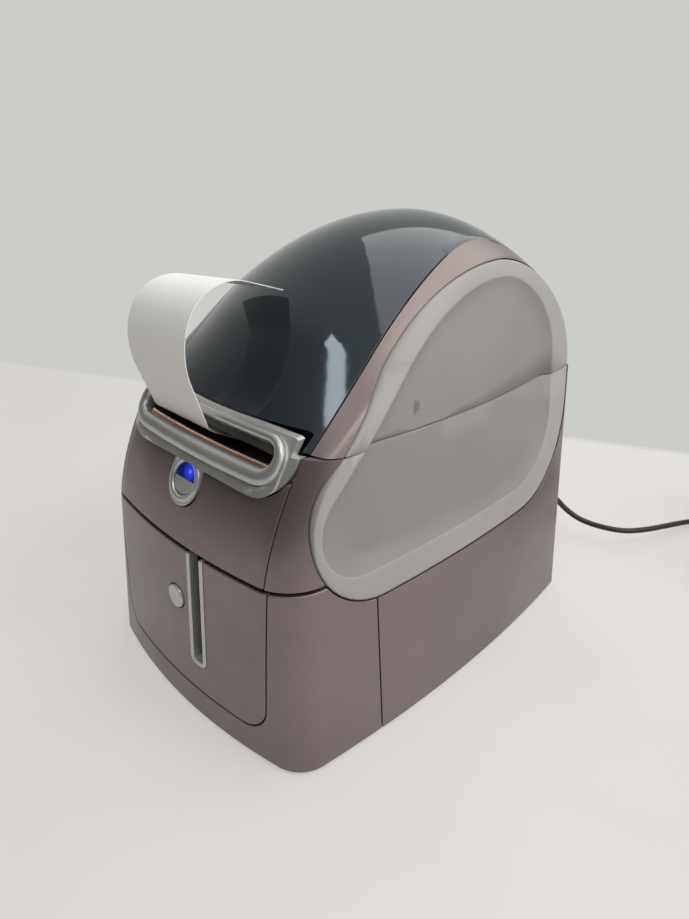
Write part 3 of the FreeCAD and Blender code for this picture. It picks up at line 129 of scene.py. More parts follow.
# Finishes
class Finish:
    """One procedural material, built node by node on object coordinates."""

    def __init__(self, name, **sockets):
        self.material = bpy.data.materials.new(name)
        self.material.use_nodes = True
        self.tree = self.material.node_tree
        self.shader = self.tree.nodes["Principled BSDF"]
        self.place = self.add("ShaderNodeTexCoord").outputs["Object"]
        for key, value in sockets.items():
            self.shader.inputs[key.replace("_", " ")].default_value = value

    def add(self, kind, **settings):
        node = self.tree.nodes.new(kind)
        for key, value in settings.items():
            setattr(node, key, value)
        return node

    def feed(self, value, socket):
        if hasattr(value, "is_linked"):
            self.tree.links.new(value, socket)
        else:
            socket.default_value = value

    def noise(self, scale, detail=2.0, rough=0.5, where=None):
        node = self.add("ShaderNodeTexNoise")
        self.feed(where or self.place, node.inputs["Vector"])
        node.inputs["Scale"].default_value = scale
        node.inputs["Detail"].default_value = detail
        node.inputs["Roughness"].default_value = rough
        return node.outputs["Fac"]

    def flakes(self, scale):
        """A random value for each small cell."""
        node = self.add("ShaderNodeTexVoronoi")
        self.feed(self.place, node.inputs["Vector"])
        node.inputs["Scale"].default_value = scale
        split = self.add("ShaderNodeSeparateColor")
        self.feed(node.outputs["Color"], split.inputs["Color"])
        return split.outputs["Red"]

    def stretched(self, scale):
        node = self.add("ShaderNodeMapping")
        node.inputs["Scale"].default_value = scale
        self.feed(self.place, node.inputs["Vector"])
        return node.outputs["Vector"]

    def axis(self, name):
        node = self.add("ShaderNodeSeparateXYZ")
        self.feed(self.place, node.inputs["Vector"])
        return node.outputs[name]

    def span(self, value, low, high, out_low=0.0, out_high=1.0):
        node = self.add("ShaderNodeMapRange")
        self.feed(value, node.inputs["Value"])
        for key, number in (("From Min", low), ("From Max", high),
                            ("To Min", out_low), ("To Max", out_high)):
            node.inputs[key].default_value = number
        return node.outputs["Result"]

    def math(self, kind, a, b=0.0):
        node = self.add("ShaderNodeMath", operation=kind)
        self.feed(a, node.inputs[0])
        self.feed(b, node.inputs[1])
        return node.outputs["Value"]

    def mix(self, share, a, b):
        node = self.add("ShaderNodeMix", data_type="RGBA")
        self.feed(share, node.inputs["Factor"])
        self.feed(a, node.inputs["A"])
        self.feed(b, node.inputs["B"])
        return node.outputs["Result"]

    def colour(self, value):
        self.feed(value, self.shader.inputs["Base Color"])

    def rough(self, value):
        self.feed(value, self.shader.inputs["Roughness"])

    def bump(self, height, strength, depth):
        node = self.add("ShaderNodeBump")
        node.inputs["Strength"].default_value = strength
        node.inputs["Distance"].default_value = depth
        self.feed(height, node.inputs["Height"])
        self.feed(node.outputs["Normal"], self.shader.inputs["Normal"])


def metallic_paint(name, dark, light, metal, rough):
    """Paint with fine flakes, a slow change of shade and a slight orange peel."""
    f = Finish(name, Metallic=metal, Coat_Weight=0.2, Coat_Roughness=0.25)
    grain = f.span(f.flakes(5200.0), 0.5, 1.0)
    cloud = f.span(f.noise(14.0, 3.0), 0.3, 0.7)
    share = f.math("ADD", f.math("MULTIPLY", grain, 0.30), f.math("MULTIPLY", cloud, 0.45))
    f.colour(f.mix(share, dark, light))
    f.rough(f.span(f.noise(60.0, 3.0), 0.3, 0.7, rough - 0.04, rough + 0.05))
    f.bump(f.flakes(4200.0), 0.08, 0.00008)
    return f.material


def moulded(name, dark, light, rough, grain=3500.0, depth=0.00008):
    """Moulded plastic with a fine spark-eroded grain."""
    f = Finish(name)
    f.colour(f.mix(f.span(f.noise(25.0, 3.0), 0.3, 0.7), dark, light))
    f.rough(f.span(f.noise(90.0, 2.0), 0.3, 0.7, rough - 0.05, rough + 0.05))
    f.bump(f.noise(grain, 2.0), 0.25, depth)
    return f.material


def scuffed_panel(name, dark, light, rough):
    """Satin grey plastic with faint rubbed marks and a fine grain."""
    f = Finish(name)
    base = f.mix(f.span(f.noise(18.0, 3.0), 0.3, 0.7), dark, light)
    rubs = f.noise(1.0, 4.0, 0.6, where=f.stretched((60.0, 26.0, 95.0)))
    base = f.mix(f.span(rubs, 0.66, 0.78, 0.0, 0.4), base, (0.15, 0.145, 0.14, 1))
    marks = f.noise(1.0, 2.0, 0.5, where=f.stretched((70.0, 120.0, 45.0)))
    base = f.mix(f.span(marks, 0.74, 0.77, 0.0, 0.7), base, (0.10, 0.096, 0.095, 1))
    f.colour(base)
    f.rough(f.span(f.noise(90.0, 2.0), 0.3, 0.7, rough - 0.05, rough + 0.06))
    f.bump(f.noise(3500.0, 2.0), 0.2, 0.00006)
    return f.material


def brushed(name, dark, light, rough):
    """Bare metal with faint drawn lines."""
    f = Finish(name, Metallic=1.0)
    lines = f.noise(1.0, 3.0, where=f.stretched((20.0, 900.0, 900.0)))
    f.colour(f.mix(lines, dark, light))
    f.rough(f.span(lines, 0.3, 0.7, rough - 0.06, rough + 0.08))
    f.bump(lines, 0.08, 0.00005)
    return f.material


def tinted_window():
    """Dark smoked cover: polished, with a few fine smears."""
    f = Finish("window_tint", Transmission_Weight=0.2, IOR=1.55, Coat_Weight=0.3, Coat_Roughness=0.04,
               Specular_Tint=(0.80, 0.92, 1.0, 1))
    f.colour(f.mix(f.span(f.noise(9.0, 2.0), 0.35, 0.65),
                   (0.007, 0.013, 0.020, 1), (0.012, 0.020, 0.030, 1)))
    f.rough(f.span(f.noise(40.0, 5.0), 0.35, 0.75, 0.05, 0.13))
    return f.material


def coated_paper():
    """White label stock."""
    f = Finish("label_paper", Subsurface_Weight=0.15, Subsurface_Scale=0.001)
    f.colour(f.mix(f.span(f.noise(1200.0, 4.0), 0.3, 0.7),
                   (0.83, 0.815, 0.805, 1), (0.87, 0.855, 0.845, 1)))
    f.rough(f.span(f.noise(300.0, 2.0), 0.3, 0.7, 0.5, 0.62))
    f.bump(f.noise(2500.0, 2.0), 0.12, 0.00003)
    return f.material


def backing_paper():
    """Bare, translucent backing."""
    f = Finish("label_backing", Roughness=0.3, Transmission_Weight=0.55, IOR=1.25)
    f.colour(f.mix(f.span(f.noise(900.0, 4.0), 0.3, 0.7), (0.62, 0.62, 0.60, 1), (0.70, 0.70, 0.68, 1)))
    f.bump(f.noise(1800.0, 2.0), 0.1, 0.00003)
    return f.material


def glowing_lens():
    """Clear half of the button; the blue light of the small lamp behind it is painted on, as emission and a
    lighter base colour round one spot.
    """
    f = Finish("light_lens", Roughness=0.12, Emission_Strength=1.0)
    node = f.add("ShaderNodeVectorMath", operation="DISTANCE")
    f.feed(f.place, node.inputs[0])
    node.inputs[1].default_value = LENS_SPOT
    # painted glow: lighter base colour and emission fade out from the lamp's spot on the lens
    painted_glow = f.span(node.outputs["Value"], 0.0045, 0.0006)
    painted_glow_core = f.span(node.outputs["Value"], 0.0019, 0.0008)
    haze = f.span(f.noise(500.0, 2.0), 0.3, 0.7, 0.7, 1.0)
    f.colour(f.mix(painted_glow, (0.012, 0.018, 0.10, 1), (0.03, 0.08, 0.60, 1)))
    lit = f.mix(f.math("MULTIPLY", painted_glow, haze), (0.0, 0.002, 0.06, 1), (0.01, 0.04, 0.95, 1))
    f.feed(f.mix(painted_glow_core, lit, (0.35, 0.60, 1.0, 1)), f.shader.inputs["Emission Color"])
    return f.material


def wound_edge():
    """Roll of label stock: fine rings on its ends, plain paper round its side."""
    f = Finish("label_roll_wound", Roughness=0.6)
    node = f.add("ShaderNodeVectorMath", operation="DISTANCE")
    flat = f.add("ShaderNodeCombineXYZ")
    f.feed(f.axis("Y"), flat.inputs["Y"])
    f.feed(f.axis("Z"), flat.inputs["Z"])
    f.feed(flat.outputs["Vector"], node.inputs[0])
    node.inputs[1].default_value = (0.0, ROLL_AXIS[0], ROLL_AXIS[1])
    ring = f.math("SINE", f.math("MULTIPLY", node.outputs["Value"], 2 * math.pi / ROLL_RING))
    f.colour(f.mix(f.span(ring, -1.0, 1.0), (0.60, 0.58, 0.55, 1), (0.78, 0.77, 0.75, 1)))
    f.bump(ring, 0.3, 0.0001)
    return f.material


def make_finishes():
    """One material for each slot of the record."""
    return {
        "bronze_shell": metallic_paint("bronze_shell", (0.165, 0.132, 0.129, 1), (0.290, 0.240, 0.234, 1),
                                       0.72, 0.36),
        "panel_grey": scuffed_panel("panel_grey", (0.302, 0.288, 0.283, 1), (0.340, 0.325, 0.319, 1), 0.42),
        "bezel_silver": metallic_paint("bezel_silver", (0.42, 0.42, 0.41, 1), (0.66, 0.66, 0.65, 1),
                                       0.62, 0.30),
        "window_tint": tinted_window(),
        "light_lens": glowing_lens(),
        "tear_copper": brushed("tear_copper", (0.42, 0.28, 0.20, 1), (0.62, 0.45, 0.34, 1), 0.34),
        "inner_black": moulded("inner_black", (0.012, 0.012, 0.013, 1), (0.022, 0.022, 0.024, 1), 0.55),
        "steel": brushed("steel", (0.42, 0.42, 0.43, 1), (0.62, 0.62, 0.63, 1), 0.32),
        "alu": brushed("alu", (0.62, 0.62, 0.63, 1), (0.78, 0.78, 0.79, 1), 0.36),
        "head_ceramic": moulded("head_ceramic", (0.55, 0.52, 0.46, 1), (0.66, 0.63, 0.57, 1), 0.25),
        "soft_rubber": moulded("soft_rubber", (0.014, 0.014, 0.014, 1), (0.03, 0.03, 0.03, 1), 0.75, 1800.0),
        "gear_white": moulded("gear_white", (0.70, 0.69, 0.64, 1), (0.80, 0.79, 0.75, 1), 0.42),
        "label_paper": coated_paper(),
        "board_green": moulded("board_green", (0.008, 0.075, 0.028, 1), (0.014, 0.11, 0.045, 1), 0.30, 900.0),
        "cable_black": moulded("cable_black", (0.010, 0.010, 0.011, 1), (0.019, 0.019, 0.020, 1), 0.42, 1500.0),
        "pin_brass": brushed("pin_brass", (0.55, 0.42, 0.18, 1), (0.75, 0.62, 0.33, 1), 0.28),
    }


def table_finish():
    """Pale table that meets a slightly greener ground in a soft line; both look evenly lit."""
    f = Finish("table_top", Roughness=0.75)
    top = f.mix(f.span(f.noise(6.0, 4.0), 0.3, 0.7), (0.675, 0.655, 0.641, 1), (0.73, 0.71, 0.695, 1))
    rise = f.span(f.axis("Y"), -0.006, 0.004)
    colour = f.mix(rise, top, (0.599, 0.611, 0.583, 1))
    f.colour(colour)
    light = f.add("ShaderNodeLightPath")
    seen = f.math("ADD", light.outputs["Is Camera Ray"], light.outputs["Is Glossy Ray"])
    seen = f.math("MINIMUM", f.math("ADD", seen, light.outputs["Is Transmission Ray"]), 1.0)
    even = f.add("ShaderNodeEmission")
    f.feed(colour, even.inputs["Color"])
    join = f.add("ShaderNodeMixShader")
    f.feed(f.math("MULTIPLY", seen, f.span(rise, 0.0, 1.0, 0.62, 1.0)), join.inputs["Fac"])
    f.feed(f.shader.outputs["BSDF"], join.inputs[1])
    f.feed(even.outputs["Emission"], join.inputs[2])
    f.feed(join.outputs["Shader"], f.tree.nodes["Material Output"].inputs["Surface"])
    return f.material


def put_table():
    """Pale table top; past its edge the ground takes the colour of the sky."""
    mesh = bpy.data.meshes.new("table")
    far = TABLE_REACH
    mesh.from_pydata([(-far, -far, 0), (far, -far, 0), (far, far, 0), (-far, far, 0)], [], [(0, 1, 2, 3)])
    table = bpy.data.objects.new("table", mesh)
    table.location = TABLE_EDGE
    table.rotation_euler = (0, 0, math.radians(TABLE_TURN))
    mesh.materials.append(table_finish())
    bpy.context.scene.collection.objects.link(table)


put_camera()
put_lights()
put_table()
finishes = make_finishes()
slots = {part["node"]: part["material_slot"] for part in frame["record"]["subparts"]}
body_of = {node: body for body, nodes in frame["record"]["behaviour"]["bodies"].items() for node in nodes}


# Pieces on the CAD shapes
EDGE_TURN = 32.0
WELD = 0.000002


def piece(name, mesh, body, finish):
    """A finished mesh as a piece that rides on a body."""
    mesh.materials.clear()
    mesh.materials.append(finishes[finish] if isinstance(finish, str) else finish)
    holder = bpy.data.objects.new(name, mesh)
    bpy.context.scene.collection.objects.link(holder)
    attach(holder, body)
    return holder


def merged_mesh(node):
    """A copy of a CAD node with its triangles joined and its flat faces whole."""
    b = bmesh.new()
    b.from_mesh(frame["nodes"][node].data)
    bmesh.ops.remove_doubles(b, verts=b.verts, dist=WELD)
    bmesh.ops.dissolve_degenerate(b, edges=b.edges, dist=WELD)
    bmesh.ops.dissolve_limit(b, angle_limit=math.radians(0.4), verts=b.verts, edges=b.edges)
    for face in b.faces:
        face.smooth = True
    mesh = bpy.data.meshes.new(node + "_form")
    b.to_mesh(mesh)
    b.free()
    return mesh


def eased(node, width):
    """The CAD node with its edges broken by a small round, as a moulded or machined edge is."""
    mesh = merged_mesh(node)
    mesh.set_sharp_from_angle(angle=math.radians(EDGE_TURN))
    holder = piece(node + "_eased", mesh, body_of[node], slots[node])
    round_off = holder.modifiers.new("round", "BEVEL")
    round_off.limit_method = "ANGLE"
    round_off.angle_limit = math.radians(EDGE_TURN)
    round_off.width = width * MM
    round_off.segments = 2
    round_off.use_clamp_overlap = True
    round_off.harden_normals = True
    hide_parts(node)


def walled(holder, thickness):
    """Give a single surface a wall on its inner side."""
    wall = holder.modifiers.new("wall", "SOLIDIFY")
    wall.thickness = thickness * MM
    wall.offset = -1.0


for node, width in (
        ("front_base_shell", 0.5), ("rear_body_shell", 0.5), ("upper_front_panel", 0.5), ("shoulder_left", 0.5),
        ("shoulder_right", 0.5), ("lid_frame", 0.5), ("lid_window", 0.3), ("drawer_front", 0.6),
        ("exit_bezel", 0.4), ("tape_slot_trim", 0.4), ("eject_button", 0.6),
        ("feed_button", 0.5), ("feed_button_lens", 0.3)):
    eased(node, width)


# Label exit: raised lip round the slot, and the collar of the feed button
FRONT_EDGE = -93.5
FRONT_LEAN = 0.0394
FRONT_SWEEP = 0.0062
SWEEP_FROM = 64.35
FRONT_BOW = 247.0
BOW_FLATTENING = 0.5
LID_LINE = 118.7
EXIT_FOOT = 108.1
EXIT_RISE = 0.755
EXIT_OUT = Vector((0.0, -0.755, 0.656))
LIP_OUTER = (42.8, -1.7, 18.9, 8.8)
LIP_INNER = (38.8, 5.4, 15.2, 4.7)
LIP_SECTION = ((0.0, 0.8), (0.0, 2.3), (0.04, 2.8), (0.12, 3.15), (0.34, 3.4), (0.62, 3.35), (0.84, 3.0),
               (0.95, 2.3), (1.0, 1.4), (1.0, -1.0), (1.0, -3.5))
BAR_LEFT, BAR_RIGHT = -36.0, 38.6
BAR_LOW, BAR_HIGH = 1.0, 7.0
TOOTH_PITCH = 1.0
TOOTH_HEIGHT = 0.9
BUTTON_Z = 99.0
COLLAR_SECTION = ((6.12, -1.5), (6.12, 0.3), (6.4, 0.85), (7.0, 1.15), (7.7, 1.1), (8.3, 0.85), (8.7, 0.4),
                  (8.8, -0.4))
COLLAR_SPOTS = 64
LIP_WALL = 0.35
COLLAR_WALL = 0.25
BAR_STEPS = 40
TOOTH_LEAN = -math.radians(41.0)


def front_line(z):
    return FRONT_EDGE + FRONT_LEAN * z + FRONT_SWEEP * max(0.0, z - SWEEP_FROM) ** 2


def on_front(x, z):
    """Point of the bowed front at one height."""
    bow = FRONT_BOW / (1 - BOW_FLATTENING * min(1.0, z / LID_LINE) ** 4)
    return Vector((x, front_line(z) + bow - math.sqrt(bow * bow - x * x), z))


def exit_spot(x, up, lift):
    """Point over the front, by its rise from the exit's foot and its lift off the surface."""
    return on_front(x, EXIT_FOOT + EXIT_RISE * up) + EXIT_OUT * lift


def rounded_loop(half, low, high, radius, corner=9, side=14):
    """Points round a bar with rounded corners, the same count for any size."""
    spots = []
    corners = ((half - radius, low + radius, -90), (half - radius, high - radius, 0),
               (radius - half, high - radius, 90), (radius - half, low + radius, 180))
    for k, (x, y, start) in enumerate(corners):
        arc = [math.radians(start + 90 * i / corner) for i in range(corner + 1)]
        spots += [(x + radius * math.cos(a), y + radius * math.sin(a)) for a in arc]
        nx, ny, turn = corners[(k + 1) % 4]
        turn = math.radians(turn)
        far = (nx + radius * math.cos(turn), ny + radius * math.sin(turn))
        here = spots[-1]
        spots += [(here[0] + (far[0] - here[0]) * i / side, here[1] + (far[1] - here[1]) * i / side)
                  for i in range(1, side)]
    return spots


def banded(name, rings, closed=False):
    """Mesh through rings of points; the rings themselves are closed."""
    b = bmesh.new()
    rows = [[b.verts.new(Vector(p) * MM) for p in ring] for ring in rings]
    pairs = list(zip(rows, rows[1:])) + ([(rows[-1], rows[0])] if closed else [])
    count = len(rows[0])
    for near, far in pairs:
        for k in range(count):
            b.faces.new((near[k], near[(k + 1) % count], far[(k + 1) % count], far[k]))
    bmesh.ops.recalc_face_normals(b, faces=b.faces)
    for face in b.faces:
        face.smooth = True
    mesh = bpy.data.meshes.new(name)
    b.to_mesh(mesh)
    b.free()
    return mesh


def make_exit_lip():
    outer, inner = rounded_loop(*LIP_OUTER), rounded_loop(*LIP_INNER)
    rings = []
    for share, lift in LIP_SECTION:
        ring = []
        for (ox, oy), (ix, iy) in zip(outer, inner):
            ring.append(exit_spot(ox + (ix - ox) * share, oy + (iy - oy) * share, lift))
        rings.append(ring)
    lip = piece("exit_lip", banded("exit_lip", rings), "body", "bezel_silver")
    walled(lip, LIP_WALL)


def make_button_collar():
    slope = FRONT_LEAN + 2 * FRONT_SWEEP * (BUTTON_Z - SWEEP_FROM)
    size = math.hypot(1.0, slope)
    up, out = Vector((0, slope / size, 1 / size)), Vector((0, -1 / size, slope / size))
    centre = on_front(0.0, BUTTON_Z)
    rings = []
    for radius, lift in COLLAR_SECTION:
        turns = [2 * math.pi * k / COLLAR_SPOTS for k in range(COLLAR_SPOTS)]
        rings.append([centre + Vector((radius * math.cos(a), 0, 0)) + up * (radius * math.sin(a)) + out * lift
                      for a in turns])
    collar = piece("button_collar", banded("button_collar", rings), "body", "bezel_silver")
    walled(collar, COLLAR_WALL)


def new_tree(name, *numbers):
    """An empty node group that takes points and named numbers and gives a mesh."""
    tree = bpy.data.node_groups.new(name, "GeometryNodeTree")
    tree.interface.new_socket("Geometry", in_out="INPUT", socket_type="NodeSocketGeometry")
    for number in numbers:
        tree.interface.new_socket(number, in_out="INPUT", socket_type="NodeSocketFloat")
    tree.interface.new_socket("Geometry", in_out="OUTPUT", socket_type="NodeSocketGeometry")
    return tree, tree.nodes.new("NodeGroupInput"), tree.nodes.new("NodeGroupOutput")


def repeat_on_points(tree, start, end, shape, turn, finish):
    """The shape on every point, as one real mesh in one material."""
    nodes, links = tree.nodes, tree.links
    spots = nodes.new("GeometryNodeInstanceOnPoints")
    spots.inputs["Rotation"].default_value = turn
    links.new(start.outputs["Geometry"], spots.inputs["Points"])
    links.new(shape, spots.inputs["Instance"])
    whole = nodes.new("GeometryNodeRealizeInstances")
    links.new(spots.outputs["Instances"], whole.inputs["Geometry"])
    paint = nodes.new("GeometryNodeSetMaterial")
    paint.inputs["Material"].default_value = finishes[finish]
    links.new(whole.outputs["Geometry"], paint.inputs["Geometry"])
    links.new(paint.outputs["Geometry"], end.inputs["Geometry"])


def tooth_tree():
    """One row of tear teeth along a line of points, each turned to stand in the bar's plane."""
    tree, start, end = new_tree("tear_teeth", "Tooth Width", "Tooth Height")
    nodes, links = tree.nodes, tree.links
    tooth = nodes.new("GeometryNodeMeshCone")
    tooth.inputs["Vertices"].default_value = 4
    tooth.inputs["Radius Top"].default_value = 0.00002
    links.new(start.outputs["Tooth Width"], tooth.inputs["Radius Bottom"])
    links.new(start.outputs["Tooth Height"], tooth.inputs["Depth"])
    flat = nodes.new("GeometryNodeTransform")
    flat.inputs["Scale"].default_value = (1.0, 0.5, 1.0)
    links.new(tooth.outputs["Mesh"], flat.inputs["Geometry"])
    repeat_on_points(tree, start, end, flat.outputs["Geometry"], (TOOTH_LEAN, 0.0, 0.0), "tear_copper")
    return tree


def built(holder):
    """The plain mesh that a holder's Geometry Nodes give."""
    bpy.context.view_layer.update()
    graph = bpy.context.evaluated_depsgraph_get()
    mesh = bpy.data.meshes.new_from_object(holder.evaluated_get(graph))
    bpy.data.objects.remove(holder)
    return mesh


def set_input(maker, name, value):
    for socket in maker.node_group.interface.items_tree:
        if socket.in_out == "INPUT" and socket.name == name:
            maker[socket.identifier] = value


def make_tear_bar():
    """Copper strip behind the lip's lower edge, with a row of fine teeth."""
    b = bmesh.new()
    rows = []
    for up, lift in ((BAR_LOW, 0.9), (BAR_HIGH, 0.1), (BAR_HIGH, -0.4), (BAR_LOW, 0.4)):
        spots = [BAR_LEFT + (BAR_RIGHT - BAR_LEFT) * k / BAR_STEPS for k in range(BAR_STEPS + 1)]
        rows.append([b.verts.new(exit_spot(x, up, lift) * MM) for x in spots])
    for near, far in zip(rows, rows[1:] + rows[:1]):
        for k in range(BAR_STEPS):
            b.faces.new((near[k], near[k + 1], far[k + 1], far[k]))
    for k in (0, BAR_STEPS):
        b.faces.new([row[k] for row in rows])
    bmesh.ops.recalc_face_normals(b, faces=b.faces)
    strip = bpy.data.meshes.new("tear_strip")
    b.to_mesh(strip)
    b.free()
    bar = piece("tear_strip", strip, "body", "tear_copper")
    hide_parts("tear_bar")
    count = int((BAR_RIGHT - BAR_LEFT) / TOOTH_PITCH)
    spots = bpy.data.meshes.new("tear_tooth_spots")
    spots.from_pydata([exit_spot(BAR_LEFT + TOOTH_PITCH * (k + 0.5), BAR_HIGH - 0.05, -0.15) * MM
                       for k in range(count)], [], [])
    holder = bpy.data.objects.new("tear_tooth_spots", spots)
    bpy.context.scene.collection.objects.link(holder)
    maker = holder.modifiers.new("teeth", "NODES")
    maker.node_group = tooth_tree()
    set_input(maker, "Tooth Width", 0.5 * TOOTH_PITCH * MM)
    set_input(maker, "Tooth Height", TOOTH_HEIGHT * MM)
    piece("tear_teeth", built(holder), "body", "tear_copper")


make_exit_lip()
make_button_collar()
make_tear_bar()

# Grey side panels with their dished faces
BODY_HALF = 71.7
SIDE_DRAFT = 0.0928
LID_TUCK = 0.0032
SIDE_BOW = 671.0
SIDE_BOW_Y = 12.7
DOME_TOP = 185.6
DOME_CROWN = 146.0
DOME_FOOT_Y = -70.5
DOME_FOOT_BOW = 374.0
ARCH_ROUND = 4.0
PANEL_TOP = 177.0
PANEL_APEX_Y = 35.0
PANEL_ARC = 106.0
PANEL_FOOT = (-67.1, 118.7)
PANEL_REAR = 90.5
PANEL_LOW = 61.4
PANEL_INSET = 7.0
PANEL_FRONT_R = 30.0
PANEL_REAR_R = 42.0
DISH_RIM = 6.0
DISH_LOW_RIM = 12.0
DISH_REAR_RIM = 18.0
RIM_SECTION = ((0.0, 5.0), (0.0, 0.45), (0.06, 0.12), (0.16, 0.0), (0.80, 0.0), (0.93, 0.04), (1.0, 0.25))
DISH_SHARES = (0.012, 0.03, 0.055, 0.085, 0.12, 0.16, 0.22, 0.32, 0.48, 0.72)
DISH_RUN = 0.16
SEAM_HALF = 0.2
DISH_EDGE = 0.2
DISH_STEP = 0.25
DISH_MIDDLE_Y = 12.0
DISH_REACH = 78.0
DISH_LEAST = 1.7
DISH_FRONT, DISH_REAR = 4.4, 2.6
PANEL_WALL = 1.4
PANEL_WELD = 0.000005
REAR_TOP, REAR_HEEL = 1.06, 0.855
REAR_HIGH, REAR_MID = 40, 50


def side_at(y, z):
    """Outer side surface: drafted, bowed, and drawn in more above the lid line."""
    half = BODY_HALF - SIDE_DRAFT * z - LID_TUCK * max(0.0, z - LID_LINE) ** 2
    return half - SIDE_BOW + math.sqrt(SIDE_BOW ** 2 - (y - SIDE_BOW_Y) ** 2)


def under_dome(x, y, z):
    """Whether a point lies inside the lid's dome profile at one distance from the middle."""
    centre_z = DOME_TOP - x * x / DOME_CROWN - PANEL_ARC
    foot = (DOME_FOOT_Y + x * x / DOME_FOOT_BOW - PANEL_APEX_Y, LID_LINE - centre_z)
    touch = math.atan2(foot[1], foot[0]) - math.acos(PANEL_ARC / math.hypot(*foot))
    dy = y - PANEL_APEX_Y
    if dy > 0:
        return True
    if dy > PANEL_ARC * math.cos(touch):
        return z - centre_z < math.sqrt(PANEL_ARC ** 2 - dy * dy)
    return dy * math.cos(touch) + (z - centre_z) * math.sin(touch) < PANEL_ARC


def rim_at(y, z):
    """Outer surface of a panel: the side, rounded over where the dome cuts it."""
    side = side_at(y, z)
    if z < LID_LINE or under_dome(side + ARCH_ROUND, y, z):
        return side
    low, high = 20.0, side + ARCH_ROUND
    for _ in range(24):
        middle = (low + high) / 2
        low, high = (middle, high) if under_dome(middle, y, z) else (low, middle)
    gap = abs(side - low)
    return min(side, low) - max(0.0, ARCH_ROUND - gap) ** 2 / (4 * ARCH_ROUND)


def arc_spots(centre, radius, start, end, count):
    turns = [math.radians(start + (end - start) * k / count) for k in range(count + 1)]
    return [(centre[0] + radius * math.cos(a), centre[1] + radius * math.sin(a)) for a in turns]


def panel_loop(inset, rear, low, front_r, rear_r):
    """Outline of the panel: front line, dome, rear fall and two rounded lower corners."""
    centre = (PANEL_APEX_Y, PANEL_TOP - PANEL_ARC)
    away = (PANEL_FOOT[0] - centre[0], PANEL_FOOT[1] - centre[1])
    touch = math.degrees(math.atan2(away[1], away[0]) - math.acos(PANEL_ARC / math.hypot(*away)))
    run = rear + inset - PANEL_APEX_Y
    top_r, heel_r = REAR_TOP * run, REAR_HEEL * run
    s1, c1 = math.sin(math.radians(REAR_HIGH)), math.cos(math.radians(REAR_HIGH))
    s2, c2 = math.sin(math.radians(REAR_MID)), math.cos(math.radians(REAR_MID))
    back_r = (run - top_r * s1 - heel_r * (1 - s2)) / (s2 - s1)
    top_c = (PANEL_APEX_Y, PANEL_TOP - top_r)
    back_c = (top_c[0] - (back_r - top_r) * s1, top_c[1] - (back_r - top_r) * c1)
    heel_c = (back_c[0] + (back_r - heel_r) * s2, back_c[1] + (back_r - heel_r) * c2)
    rear_r = min(rear_r, heel_c[1] - low - 0.5)
    dome = arc_spots(centre, PANEL_ARC - inset, touch, 90, 40)
    dome += arc_spots(top_c, top_r - inset, 90, REAR_MID, 14)[1:]
    dome += arc_spots(back_c, back_r - inset, REAR_MID, REAR_HIGH, 4)[1:]
    dome += arc_spots(heel_c, heel_r - inset, REAR_HIGH, 0, 14)[1:]
    fall = arc_spots((rear - rear_r, low + rear_r), rear_r, 0, -90, 16)
    down = math.radians(touch + 90)
    inward = (-math.sin(down), math.cos(down))
    start = dome[0]
    reach = (low + front_r - start[1] - front_r * inward[1]) / math.sin(down)
    corner_c = (start[0] + reach * math.cos(down) + front_r * inward[0], low + front_r)
    rise = arc_spots(corner_c, front_r, 270, touch, 16)
    floor = [(fall[-1][0] + (rise[0][0] - fall[-1][0]) * k / 20, low) for k in range(1, 20)]
    line = [(rise[-1][0] + (start[0] - rise[-1][0]) * k / 8, rise[-1][1] + (start[1] - rise[-1][1]) * k / 8)
            for k in range(1, 8)]
    return dome + fall + floor + rise + line


def dish_depth(y):
    """The dish is deepest at the front and deep again at the rear."""
    end = DISH_FRONT if y < DISH_MIDDLE_Y else DISH_REAR
    return DISH_LEAST + end * ((y - DISH_MIDDLE_Y) / DISH_REACH) ** 2


def panel_rings():
    outer = panel_loop(PANEL_INSET, PANEL_REAR, PANEL_LOW, PANEL_FRONT_R, PANEL_REAR_R)
    inner = panel_loop(PANEL_INSET + DISH_RIM, PANEL_REAR - DISH_REAR_RIM, PANEL_LOW + DISH_LOW_RIM,
                       PANEL_FRONT_R - DISH_LOW_RIM, PANEL_REAR_R - DISH_LOW_RIM)
    rings = []
    for share, deep in RIM_SECTION:
        spots = [(a[0] + (b[0] - a[0]) * share, a[1] + (b[1] - a[1]) * share) for a, b in zip(outer, inner)]
        rings.append([(rim_at(y, z) - deep, y, z) for y, z in spots])
    middle = (sum(p[0] for p in inner) / len(inner), sum(p[1] for p in inner) / len(inner))
    for share in DISH_SHARES:
        ring = []
        for a in inner:
            y, z = a[0] + (middle[0] - a[0]) * share, a[1] + (middle[1] - a[1]) * share
            fall = 1 - (1 - min(1.0, share / DISH_RUN)) ** 2
            ring.append((rim_at(y, z) - DISH_STEP - dish_depth(y) * fall, y, z))
        rings.append(ring)
    rings.append([(side_at(*middle) - DISH_STEP - dish_depth(middle[0]), middle[0], middle[1])] * len(inner))
    return rings


def inside(loop, y, z):
    """Whether a point lies within a closed outline."""
    hit = False
    for (y0, z0), (y1, z1) in zip(loop, loop[1:] + loop[:1]):
        if (z0 > z) != (z1 > z) and y < y0 + (y1 - y0) * (z - z0) / (z1 - z0):
            hit = not hit
    return hit


